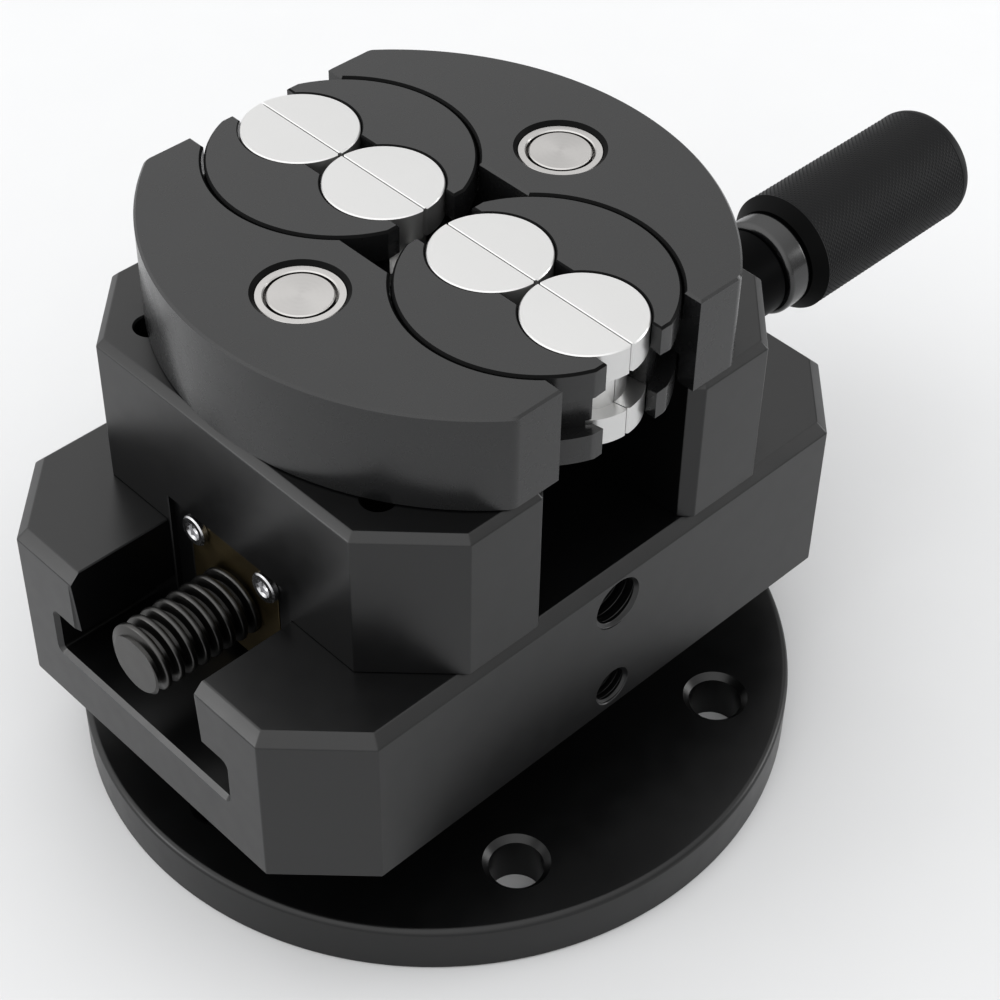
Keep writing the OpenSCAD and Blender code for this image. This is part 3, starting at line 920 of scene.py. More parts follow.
@dataclass
class BasePlate:
    """The round plate, with its plain bench holes.

    Attributes:
        edge: Width of the rounded top edge.
        lower_edge: Chamfer of the lower edge.
        bolt_circle: Diameter of the hole circle.
        bolt_count: Number of bench holes.
        bolt_bore: Bore of a bench hole.
        bolt_mouth: Mouth of its chamfer.
        bolt_turn: Angle of the first hole, in degrees.
        post_circle: Diameter of the circle of post screws.
        post_count: Number of post screws.
        post_turn: Angle of the first one, in degrees.
        post_head: Mouth of the hole for a post screw's head.
        post_screw: A post screw.
        post_depth: How deep its head is sunk into the underside.
    """

    edge: float = 0.9 * MM
    lower_edge: float = 0.3 * MM
    bolt_circle: float = 82 * MM
    bolt_count: int = 6
    bolt_bore: float = 7.5 * MM
    bolt_mouth: float = 9.0 * MM
    bolt_turn: float = 2.0
    post_circle: float = 32 * MM
    post_count: int = 4
    post_turn: float = 45.0
    post_head: float = 8 * MM
    post_screw: CountersunkScrew = CountersunkScrew(4 * MM, 11.3 * MM, 7.9 * MM)
    post_depth: float = 0.05 * MM

    def countersink(self, spot: Vector, bore: float, mouth: float, top: float,
                    up: int) -> Piece:
        """Makes the tool for one countersunk hole.

        Args:
            spot: Where the hole is, seen from above.
            bore: Its bore.
            mouth: Its mouth.
            top: Height of its mouth.
            up: +1 if it opens upwards, -1 if it opens downwards.

        Returns:
            The tool.
        """
        past, lip = 20 * MM, 0.12 * MM
        cone = (mouth - bore) / 2
        profile = [(0, past), (mouth / 2 + 2 * lip, past), (mouth / 2 + 2 * lip, lip),
                   (mouth / 2, -lip), (bore / 2, -cone - lip), (bore / 2, -past), (0, -past)]
        return turned("hole", [(r, h * up) for r, h in profile], 64, centre=(spot.x, spot.y, top))

    def around(self, circle: float, count: int, start: float) -> list[Vector]:
        """Places evenly spaced on a circle."""
        turns = [math.radians(start + 360 * i / count) for i in range(count)]
        return [Matrix.Rotation(turn, 3, "Z") @ Vector((circle / 2, 0, 0)) for turn in turns]

    def build(self) -> None:
        """Models the plate and the screws under it and hands them over."""
        _, high, _ = bounds_of("base_plate")
        r = high.x
        rounding = arc((r - self.edge, high.z - self.edge), self.edge, 0, 90, 5)
        profile = [(0, 0), (r - self.lower_edge, 0), (r, self.lower_edge), *rounding, (0, high.z)]
        plate = turned("base_plate_turned", profile, 256)
        bench = [self.countersink(spot, self.bolt_bore, self.bolt_mouth, high.z, 1)
                 for spot in self.around(self.bolt_circle, self.bolt_count, self.bolt_turn)]
        spots = self.around(self.post_circle, self.post_count, self.post_turn)
        below = [self.countersink(spot, self.post_screw.thread, self.post_head, 0, -1) for spot in spots]
        cut(plate, join("holes", [*bench, *below]))
        deliver(plate, "base", "base_black", "base_plate")
        seats = [(spot + UP * self.post_depth, DOWN) for spot in spots]
        fit_screws(self.post_screw, seats, "base", "screw_steel", "post_screws")


@dataclass
class Swivel:
    """The post that the body turns on, with its washer, cap and lock screws.

    Attributes:
        foot: Radius of the post's foot.
        foot_height: Thickness of the foot.
        neck: Radius of its neck.
        spigot: Radius of its spigot.
        edge: Width of the post's broken edges.
        fine: Width of the washer's broken edges, and the play round the spigot.
        lock_screw: A lock screw.
    """

    foot: float = 21 * MM
    foot_height: float = 4 * MM
    neck: float = 15 * MM
    spigot: float = 9 * MM
    edge: float = 0.5 * MM
    fine: float = 0.1 * MM
    lock_screw: SetScrew = SetScrew(5 * MM, 10 * MM)

    def build(self) -> None:
        """Models the pieces and hands them over."""
        low, high, _ = bounds_of("swivel_post")
        wash_low, wash_high, _ = bounds_of("swivel_washer")
        step, e, shoulder = low.z + self.foot_height, self.edge, wash_low.z
        profile = [(0, low.z), (self.foot, low.z), (self.foot, step - e), (self.foot - e, step),
                   *arc((self.neck + e, step + e), e, 270, 180, 4), (self.neck, shoulder - e / 2),
                   (self.neck - e / 2, shoulder), (self.spigot, shoulder), (self.spigot, high.z - e),
                   (self.spigot - e, high.z), (0, high.z)]
        deliver(turned("swivel_post_turned", profile, 128), "base", "base_black", "swivel_post")
        inner = self.spigot + self.fine
        ring = ring_profile(inner, self.neck, wash_low.z, wash_high.z, self.fine)
        deliver(turned("swivel_washer_turned", ring, 128), "base", "bronze", "swivel_washer")
        height = UP * bounds_of("swivel_lock_screws")[2].z
        tips = [(height + way * inner, way) for way in (FRONT, REAR)]
        fit_screws(self.lock_screw, tips, "vise", "dark_steel", "swivel_lock_screws")


@dataclass(frozen=True)
class TappedHole:
    """A tapped hole in the body's side.

    Attributes:
        bore: Its bore.
        pitch: Pitch of its thread.
        height: Height of its axis above the body's underside.
        edge: Chamfer at its mouth.
        thread: Where its thread begins and ends, inwards from its mouth.
    """

    bore: float
    pitch: float
    height: float
    edge: float = 0.5 * MM
    thread: tuple[float, float] = (-1.5 * MM, 9 * MM)


@dataclass
class ViseBody:
    """The long block with the T-slot and the tapped side holes.

    Attributes:
        corner: Corner chamfer seen from above.
        edge: Chamfer round the top.
        fine: Width of the finely broken edges.
        slot_end: Chamfer round both ends of the T-slot.
        slot_round: Rounding of its inner corners.
        mouth: Width of the T-slot's mouth.
        foot: Width of its foot.
        floor: Height of its floor above the underside.
        foot_height: Height of its foot.
        upper: An upper side hole.
        lower: A lower side hole.
        spigot: Bore for the spigot.
        spigot_edge: Chamfer at the mouth of that bore.
        cap: Bore for the retaining cap.
        cap_depth: Depth of that bore below the slot's floor.
        past: How far a tool goes past the wall that it opens.
    """

    corner: float = 10.2 * MM
    edge: float = 1.5 * MM
    fine: float = 0.16 * MM
    slot_end: float = 0.6 * MM
    slot_round: float = 0.6 * MM
    mouth: float = 24.6 * MM
    foot: float = 34.4 * MM
    floor: float = 8.7 * MM
    foot_height: float = 6.7 * MM
    upper: TappedHole = TappedHole(6.8 * MM, 1.25 * MM, 19.9 * MM)
    lower: TappedHole = TappedHole(5.0 * MM, 0.8 * MM, 4.0 * MM)
    spigot: float = 18.2 * MM
    spigot_edge: float = 0.3 * MM
    cap: float = 26.3 * MM
    cap_depth: float = 1.9 * MM
    past: float = 1 * MM

    def slot_tool(self, low: Vector, high: Vector) -> Piece:
        """Makes the tool that cuts the T-slot, with rounded inner corners.

        Args:
            low: The block's lowest corner.
            high: Its highest corner.

        Returns:
            The tool.
        """
        floor = low.z + self.floor
        top = floor + self.foot_height
        m, f, past, lip = self.mouth / 2, self.foot / 2, 4 * self.past, self.fine
        section = [(-f, floor), (f, floor), (f, top), (m, top), (m, high.z - lip), (m + lip, high.z),
                   (m + lip, high.z + past), (-m - lip, high.z + past), (-m - lip, high.z),
                   (-m, high.z - lip), (-m, top), (-f, top)]
        tool = prism("slot", section, low.x - past, high.x + past, Axis.SCREW)
        return round_edges(tool, lambda a, b: abs(a.x - b.x) > past and abs(abs(a.y) - f) < MERGE,
                           self.slot_round)

    def at_slot_end(self, low: Vector, high: Vector) -> EdgeTest:
        """A test for the edges of the T-slot on the block's end faces.

        Args:
            low: The block's lowest corner.
            high: Its highest corner.

        Returns:
            The test.
        """
        reach, floor = self.foot / 2 + MERGE, low.z + self.floor - MERGE

        def chosen(a: Vector, b: Vector) -> bool:
            """Says whether both ends of an edge are on the slot's outline."""
            ends = abs(a.x - b.x) < MERGE and (abs(a.x - low.x) < MERGE or abs(a.x - high.x) < MERGE)
            return ends and max(abs(a.y), abs(b.y)) < reach and min(a.z, b.z) > floor

        return chosen

    def spigot_tool(self, low: Vector) -> Piece:
        """Makes the tool for the bore of the spigot, with the cap's seat above it.

        Args:
            low: The block's lowest corner.

        Returns:
            The tool.
        """
        bore, cap, e = self.spigot / 2, self.cap / 2, self.spigot_edge
        seat, top = self.floor - self.cap_depth, self.floor + self.past
        profile = [(0, -self.past), (bore + e, -self.past), (bore + e, 0), (bore, e), (bore, seat),
                   (cap, seat), (cap, top), (0, top)]
        return turned("bore", profile, 96, centre=(0, 0, low.z))

    def tapped(self, kind: TappedHole, depth: float, low: Vector) -> list[Piece]:
        """Makes the tools for a tapped hole in the front side.

        Args:
            kind: The hole.
            depth: Its depth.
            low: The block's lowest corner.

        Returns:
            The drill and the thread.
        """
        r, past = kind.bore / 2, 3 * self.past
        grooves = threaded_rod(r + 0.5 * kind.pitch, r - 0.1 * MM, kind.pitch, *kind.thread, 32)
        profile = [(0, -past), (r + past + kind.edge, -past), (r, kind.edge), (r, depth), (0, depth)]
        hole = turned("drill", profile, 64, Axis.SCREW)
        place = Matrix.Translation((0, low.y, low.z + kind.height))
        turn = place @ Matrix.Rotation(math.radians(90), 4, "Z")
        return [moved(hole, turn), moved(grooves, turn)]

    def build(self) -> None:
        """Models the block and hands it over."""
        low, high, _ = bounds_of("vise_body")
        outline = chamfered(low, high, self.corner, self.corner)
        body = prism("vise_body_milled", outline, low.z, high.z)
        round_edges(body, in_plane(2, high.z), self.edge, 1)
        soften(body, self.fine)
        cut(body, self.slot_tool(low, high))
        round_edges(body, self.at_slot_end(low, high), self.slot_end, 1)
        cut(body, self.spigot_tool(low))
        drills: list[Piece] = []
        threads: list[Piece] = []
        for hole, opening in ((self.upper, self.mouth), (self.lower, self.spigot)):
            front = self.tapped(hole, -low.y - opening / 2 + self.past, low)
            rear = [moved(copy_of(tool, "rear_hole"), mirror_y()) for tool in front]
            for pair, kind in zip(zip(front, rear), (drills, threads)):
                kind.extend(pair)
        cut(body, join("drills", drills), join("threads", threads))
        deliver(body, "vise", "body_black", "vise_body")


@dataclass
class Yoke:
    """The two-part bearing that holds the middle of the lead screw.

    Attributes:
        edge: Width of its broken edges.
        bore: Radius of the journal's bore.
        screw: Its cap screws.
        screw_inset: Distance from its end to a cap screw.
        side_screw: Its set screws in the body's sides.
    """

    edge: float = 0.4 * MM
    bore: float = 3.55 * MM
    screw: CapScrew = CapScrew(3 * MM, 7 * MM, 3 * MM)
    screw_inset: float = 3.9 * MM
    side_screw: SetScrew = SetScrew(6.8 * MM, 10.05 * MM)

    def half(self, node: str, places: Sequence[Vector]) -> None:
        """Models one half and hands it over.

        Args:
            node: Its node.
            places: Where cap screws go into its top.
        """
        low, high, _ = bounds_of(node)
        half = soften(block(f"{node}_milled", low, high), self.edge)
        bore = [(0, -2 * high.x), (self.bore, -2 * high.x), (self.bore, 2 * high.x), (0, 2 * high.x)]
        cut(half, turned("bore", bore, 64, Axis.SCREW, (0, 0, screw_height())))
        if places:
            head, shank = 0.9 * self.screw.thread, 0.5 * self.screw.thread
            seats = [drill(head, self.screw.tall, self.edge / 2, place, DOWN) for place in places]
            holes = [drill(shank, high.z - low.z + 2 * MM, 0, place, DOWN) for place in places]
            cut(half, join("seats", seats), join("holes", holes))
        deliver(half, "vise", "dark_steel", node)

    def build(self) -> None:
        """Models the yoke and its screws and hands them over."""
        low, high, _ = bounds_of("yoke_cap")
        places = [Vector((0, way * (high.y - self.screw_inset), high.z)) for way in BOTH_WAYS]
        self.half("yoke_base", [])
        self.half("yoke_cap", places)
        seats = [(place - UP * self.screw.tall, UP) for place in places]
        fit_screws(self.screw, seats, "vise", "screw_steel", "yoke_cap_screws")
        tips = [(Vector((0, y, screw_height())), way) for y, way in ((low.y, FRONT), (high.y, REAR))]
        fit_screws(self.side_screw, tips, "vise", "dark_steel", "yoke_set_screws")


@dataclass
class LeadScrew:
    """The screw with a right-hand thread on its left half and a left-hand one on its right half.

    Attributes:
        crest: Radius of the crests.
        root: Radius of the roots.
        pitch: Distance from crest to crest.
        journal: Half the length of the plain journal.
        shank: Radius of journal and shank.
        shank_edge: Chamfer at the shank's end.
        core: How far the plain core reaches into the left half.
        end_chamfer: Chamfer at the free end.
        play: Room between the thread and its nut.
    """

    crest: float = 5 * MM
    root: float = 3.75 * MM
    pitch: float = 2 * MM
    journal: float = 5.05 * MM
    shank: float = 3.5 * MM
    shank_edge: float = 0.5 * MM
    core: float = 40 * MM
    end_chamfer: float = 0.6 * MM
    play: float = 0.1 * MM

    def thread(self, start: float, end: float, wider: float = 0.0) -> Piece:
        """Makes a stretch of the left half's thread, along the X axis through the origin.

        Args:
            start: Lowest X.
            end: Highest X.
            wider: How much larger all radii are, as for the nut's own thread.

        Returns:
            The threaded rod, in phase with the screw.
        """
        begin = -self.journal - self.pitch * math.ceil((-self.journal - start) / self.pitch)
        rod = threaded_rod(self.crest + wider, self.root + wider, self.pitch, begin, end)
        with editing(rod):
            trim_end(start, -1)
        return tidy_mesh(rod)

    def build(self) -> None:
        """Models the screw and hands it over."""
        low, high, middle = bounds_of("lead_screw")
        end, crest = low.x, self.crest
        left = self.thread(end, -self.journal)
        slope = [(0, end - MM), (crest - self.end_chamfer - MM, end - MM),
                 (crest + MM, end + self.end_chamfer + MM), (crest + MM, 0), (0, 0)]
        combine(left, turned("end", slope, 96, Axis.SCREW), "INTERSECT")
        right = moved(copy_of(left, "right_thread"), mirror_x())
        shank, edge = self.shank, self.shank_edge
        profile = [(0, -self.core), (shank, -self.core), (shank, high.x - edge),
                   (shank - edge, high.x), (0, high.x)]
        core = turned("lead_screw_cut", profile, 64, Axis.SCREW)
        combine(core, left, "UNION")
        combine(core, right, "UNION")
        moved(core, Matrix.Translation((0, 0, middle.z)))
        deliver(core, "screw", "thread_steel", "lead_screw")


@dataclass
class Handle:
    """The collar, the neck ring and the knurled grip on the screw's shank.

    Attributes:
        bore: Radius of their bore.
        edge: Chamfer of the collar.
        neck_round: Rounding of the neck ring.
        inner_chamfer: Chamfer of the grip beside the neck ring.
        end_round: Rounding of the grip's free end.
        diamonds: Number of knurl diamonds round the grip.
        diamond_length: Length of one diamond along the grip.
        depth: Depth of the knurl.
        fineness: Facets in one diamond, each way.
        screw: The set screw in the collar.
        screw_lip: Chamfer at the mouth of its hole.
        floor_play: Room between the lead screw's end and the floor of the grip's bore.
    """

    bore: float = 3.52 * MM
    edge: float = 0.35 * MM
    neck_round: float = 1.1 * MM
    inner_chamfer: float = 1.8 * MM
    end_round: float = 2.9 * MM
    diamonds: int = 70
    diamond_length: float = 0.85 * MM
    depth: float = 0.09 * MM
    fineness: int = 4
    screw: SetScrew = SetScrew(4 * MM, 3.2 * MM)
    screw_lip: float = 0.2 * MM
    floor_play: float = 0.02 * MM

    def collar(self) -> None:
        """Models the collar with its set screw."""
        low, high, middle = bounds_of("handle_collar")
        r = high.z - middle.z
        profile = ring_profile(self.bore, r, low.x, high.x, self.edge)
        collar = turned("handle_collar_turned", profile, 96, Axis.SCREW, (0, 0, middle.z))
        place = Vector((middle.x, r, middle.z))
        cut(collar, drill(self.screw.thread / 2, r, self.screw_lip, place, FRONT))
        deliver(collar, "screw", "handle_black", "handle_collar")
        tip = Vector((middle.x, bounds_of("handle_set_screw")[0].y, middle.z))
        deliver(self.screw.build("handle_set_screw_turned", tip, REAR), "screw", "dark_steel",
                "handle_set_screw")

    def neck(self) -> None:
        """Models the neck ring."""
        low, high, middle = bounds_of("handle_neck")
        r, f = high.z - middle.z, self.neck_round
        profile = [(self.bore, low.x), (r - f, low.x), *arc((r - f, low.x + f), f, -90, 0, 6)[1:],
                   *arc((r - f, high.x - f), f, 0, 90, 6)[:-1], (r - f, high.x), (self.bore, high.x)]
        neck = turned("handle_neck_turned", profile, 128, Axis.SCREW, (0, 0, middle.z))
        deliver(neck, "screw", "neck_black", "handle_neck")

    def grip(self) -> None:
        """Models the grip and rolls the knurl into it."""
        low, high, middle = bounds_of("handle_grip")
        r, floor = high.z - middle.z, bounds_of("lead_screw")[1].x + self.floor_play
        start, end = low.x + self.inner_chamfer, high.x - self.end_round
        cells = round((end - start) / self.diamond_length) * self.fineness
        barrel = [(r, start + (end - start) * i / cells) for i in range(cells + 1)]
        rounding = arc((r - self.end_round, end), self.end_round, 0, 90, 10)[1:]
        profile = [(0, floor), (self.bore, floor), (self.bore, low.x), (r - self.inner_chamfer, low.x),
                   *barrel, *rounding, (0, high.x)]
        steps = self.diamonds * self.fineness
        grip = turned("handle_grip_knurled", profile, steps, Axis.SCREW, (0, 0, middle.z))
        knurl = grip.vertex_groups.new(name="knurl")
        for vertex in grip.data.vertices:
            x, y, z = vertex.co
            if start + MERGE < x < end - MERGE and math.hypot(y, z - middle.z) > r - self.bore / 2:
                round_way = math.atan2(z - middle.z, y) / FULL_TURN * self.diamonds
                along = (x - start) / (end - start) * cells / self.fineness
                height = min(self.ramp(round_way + along), self.ramp(round_way - along))
                knurl.add([vertex.index], 1 - height, "REPLACE")
        rolled = grip.modifiers.new("knurl", "DISPLACE")
        rolled.vertex_group = "knurl"
        rolled.direction = "NORMAL"
        rolled.mid_level = 0
        rolled.strength = -self.depth
        apply_modifier(grip, rolled)
        # Faces left of the knurl, the inner chamfer among them, get painted shade for the dark reflection
        # they show.
        deliver(grip, "screw", "grip_black", "handle_grip", smooth_under=5,
                painted_shade=lambda face: face.center.x < start - MERGE)

    @staticmethod
    def ramp(value: float) -> float:
        """A triangle wave, 0 at whole numbers and 1 between them."""
        return 1 - abs(2 * (value % 1) - 1)

    def build(self) -> None:
        """Models the handle."""
        self.collar()
        self.neck()
        self.grip()


@dataclass(frozen=True)
class Pivot:
    """The bush in the left big jaw and the pin in the left carrier, with their right twins.

    Attributes:
        spot: Distance of the axis from the middle plane.
        bush: Radius of the bush's hole.
        bush_edge: Chamfer round it.
        bush_play: Room round the bush.
        bore: Radius of the bush's bore.
        head_play: Room round the pin's head.
        head: Height of the pin's head.
        shank: Radius of its shank.
        edge: Width of the broken edges.
        steel: Colour of the pins.
        ring: Size of the rings on the pins' heads.
    """

    spot: float = 21.7 * MM
    bush: float = 5.6 * MM
    bush_edge: float = 0.5 * MM
    bush_play: float = 0.02 * MM
    bore: float = 3.1 * MM
    head_play: float = 0.35 * MM
    head: float = 2.5 * MM
    shank: float = 2.98 * MM
    edge: float = 0.15 * MM
    steel: tuple[float, float, float] = (0.48, 0.47, 0.46)
    ring: float = 0.12 * MM

    def finish(self, side: Side) -> TurnedFinish:
        """The finish of one pin, with its rings round the pin's own axis."""
        return TurnedFinish(f"{side.word} turned pin steel", self.steel, metallic=1.0, roughness=0.3,
                            ring=self.ring, centre=(side.value * self.spot, 0))

    def build(self) -> None:
        """Models the left bush and pin, mirrors them and hands them over."""
        low, high, _ = bounds_of("left_pivot_bush")
        pin_low, pin_high, _ = bounds_of("left_pivot_pin")
        e, bore, head_z = self.edge, self.bore, pin_high.z - self.head
        outer, head = self.bush - self.bush_play, (pin_high.x - pin_low.x) / 2
        rim, spot = head + self.head_play, (-self.spot, 0, 0)
        ring = [*ring_profile(bore, outer, low.z, high.z, e)[:-1], (rim + e, high.z),
                (rim, high.z - e), (rim, head_z), (bore, head_z)]
        bush = turned("left_pivot_bush_turned", ring, 128, centre=spot)
        deliver_pair(bush, "pivot_bush", "jaw", "bush_steel")
        profile = [(0, pin_low.z), (self.shank - e, pin_low.z), (self.shank, pin_low.z + e),
                   (self.shank, head_z), (head - e, head_z), (head, head_z + e),
                   (head, pin_high.z - e), (head - e, pin_high.z), (0, pin_high.z)]
        pin = turned("left_pivot_pin_turned", profile, 128, centre=spot)
        deliver_pair(pin, "pivot_pin", "slide", "pin_steel", [self.finish(side) for side in Side])


@dataclass
class Carrier:
    """One of the two sliding carriers, with its brass nut and the nut's screws.

    Attributes:
        corner: Outer corner chamfer seen from above.
        inner: Inner corner chamfer seen from above.
        edge: Chamfer round the top.
        fine: Width of the finely broken edges.
        under: Height of its underside above the body's top.
        stem: Half the stem's width.
        foot: Half the foot's width.
        foot_height: Height of the foot.
        channel: Radius of the channel for the screw.
        recess: Depth of the relief round the nut.
        relief: Half the width of the relief.
        relief_top: Height of the relief above the screw axis.
        nut_corner: Lower corner chamfer of the nut.
        nut_screw: The nut's cap screws.
        nut_screw_spot: Their place from the screw axis, sideways and up.
        nut_play: Room round the nut.
        stop_spot: The stop holes' place from the pivot.
        stop_radius: Radius of a stop hole.
        hole_depth: Depth of the holes in its top.
        hole_lip: Chamfer at their mouths.
        pin: Radius of the pivot's bore.
        pivot: Distance of the pivot from the middle plane.
        past: How far a tool goes past the underside.
    """

    corner: float = 9.9 * MM
    inner: float = 1.65 * MM
    edge: float = 1.0 * MM
    fine: float = 0.16 * MM
    under: float = 0.05 * MM
    stem: float = 12.2 * MM
    foot: float = 17.1 * MM
    foot_height: float = 6.6 * MM
    channel: float = 5.6 * MM
    recess: float = 0.9 * MM
    relief: float = 11.75 * MM
    relief_top: float = 10.2 * MM
    nut_corner: float = 4.0 * MM
    nut_screw: CapScrew = CapScrew(2.5 * MM, 16 * MM, 1 * MM)
    nut_screw_spot: tuple[float, float] = (6.9 * MM, 7.4 * MM)
    nut_play: float = 0.05 * MM
    stop_spot: tuple[float, float] = (7.1 * MM, 21.35 * MM)
    stop_radius: float = 2.1 * MM
    hole_depth: float = 12 * MM
    hole_lip: float = 0.25 * MM
    pin: float = 3.0 * MM
    pivot: float = Pivot.spot
    past: float = 10 * MM

    def pocket(self, low: Vector, high: Vector, mouth: float) -> Piece:
        """Makes the tool for a square pocket with a chamfered mouth, which opens to the left.

        Args:
            low: The pocket's lowest corner.
            high: Its highest corner.
            mouth: X of its mouth.

        Returns:
            The tool.
        """
        lip, past = self.fine, Vector((mouth - low.x + MM, 0, 0))
        hole = block("pocket", low - past, high)
        wide = Vector((0, lip, lip))
        flare = block("mouth", low - past - wide, Vector((mouth + lip, high.y, high.z)) + wide)
        round_edges(flare, in_plane(0, mouth + lip), lip, 1)
        return combine(hole, flare, "UNION")

    def carrier(self) -> Piece:
        """Models the left carrier.

        Returns:
            The carrier.
        """
        low, high, _ = bounds_of("left_carrier")
        axis_z, body_top = screw_height(), bounds_of("vise_body")[1].z
        outline = chamfered(low, high, self.corner, self.inner)
        piece = prism("left_carrier_milled", outline, body_top + self.under, high.z)
        round_edges(piece, in_plane(2, high.z), self.edge, 1)
        soften(piece, self.fine)
        s, f, foot_top, top, e = self.stem, self.foot, low.z + self.foot_height, body_top + MM, self.fine
        half = [(f - e, low.z), (f, low.z + e), (f, foot_top - e), (f - e, foot_top), (s, foot_top),
                (s, top)]
        section = [*half, *[(-y, z) for y, z in reversed(half)]]
        combine(piece, prism("stem", section, low.x, high.x, Axis.SCREW), "UNION")
        below = low.z - self.past
        relief_top = Vector((low.x + self.recess, self.relief, axis_z + self.relief_top))
        cut(piece, self.pocket(Vector((low.x, -self.relief, below)), relief_top, low.x))
        nut_low, nut_high, _ = bounds_of("left_nut")
        play = Vector((0, self.nut_play, self.nut_play))
        cut(piece, self.pocket(Vector((nut_low.x, nut_low.y, below)) - play, nut_high + play, nut_low.x))
        start, end = low.x - MM, high.x + MM
        channel = [(0, start), (self.channel, start), (self.channel, end), (0, end)]
        cut(piece, turned("channel", channel, 96, Axis.SCREW, (0, 0, axis_z)))
        pivot = Vector((-self.pivot, 0, high.z))
        stops = [pivot + Vector((-self.stop_spot[0], way * self.stop_spot[1], 0)) for way in BOTH_WAYS]
        for radius, place in [*((self.stop_radius, stop) for stop in stops), (self.pin, pivot)]:
            cut(piece, drill(radius, self.hole_depth, self.hole_lip, place, DOWN))
        return piece

    def nut_seats(self) -> list[Vector]:
        """Places on the left nut's face where its cap screws sit."""
        (low, _, _), (y, z) = bounds_of("left_nut"), self.nut_screw_spot
        return [Vector((low.x, way * y, screw_height() + z)) for way in BOTH_WAYS]

    def nut(self) -> Piece:
        """Models the left nut.

        Returns:
            The nut.
        """
        low, high, _ = bounds_of("left_nut")
        lead = LeadScrew()
        rod = lead.thread(low.x - MM, high.x + MM, lead.play)
        c = self.nut_corner
        section = [(low.y, high.z), (low.y, low.z + c), (low.y + c, low.z), (high.y - c, low.z),
                   (high.y, low.z + c), (high.y, high.z)]
        piece = soften(prism("left_nut_milled", section, low.x, high.x, Axis.SCREW), self.fine)
        cut(piece, moved(rod, Matrix.Translation((0, 0, screw_height()))))
        for seat in self.nut_seats():
            cut(piece, drill(self.nut_screw.thread / 2, high.x - low.x + MM, 0, seat, RIGHTWARD))
        return piece

    def screws(self) -> Piece:
        """Models the two cap screws of the left nut."""
        screws = [self.nut_screw.build("screw", seat, LEFTWARD) for seat in self.nut_seats()]
        return join("left_nut_screws_turned", screws)

    def build(self) -> None:
        """Models the left set, mirrors it and hands both over."""
        deliver_pair(self.carrier(), "carrier", "slide", "body_black")
        deliver_pair(self.nut(), "nut", "slide", "nut_brass")
        deliver_pair(self.screws(), "nut_screws", "slide", "screw_steel")


@dataclass(frozen=True)
class Disc:
    """The sizes of one kind of turning disc.

    Attributes:
        radius: Its radius.
        seam: Room round it.
        edge: Chamfer of the disc and of its room.
        wide: More than half the width of its jaw.
        steps: Facets round it.
    """

    radius: float
    seam: float
    edge: float
    wide: float
    steps: int


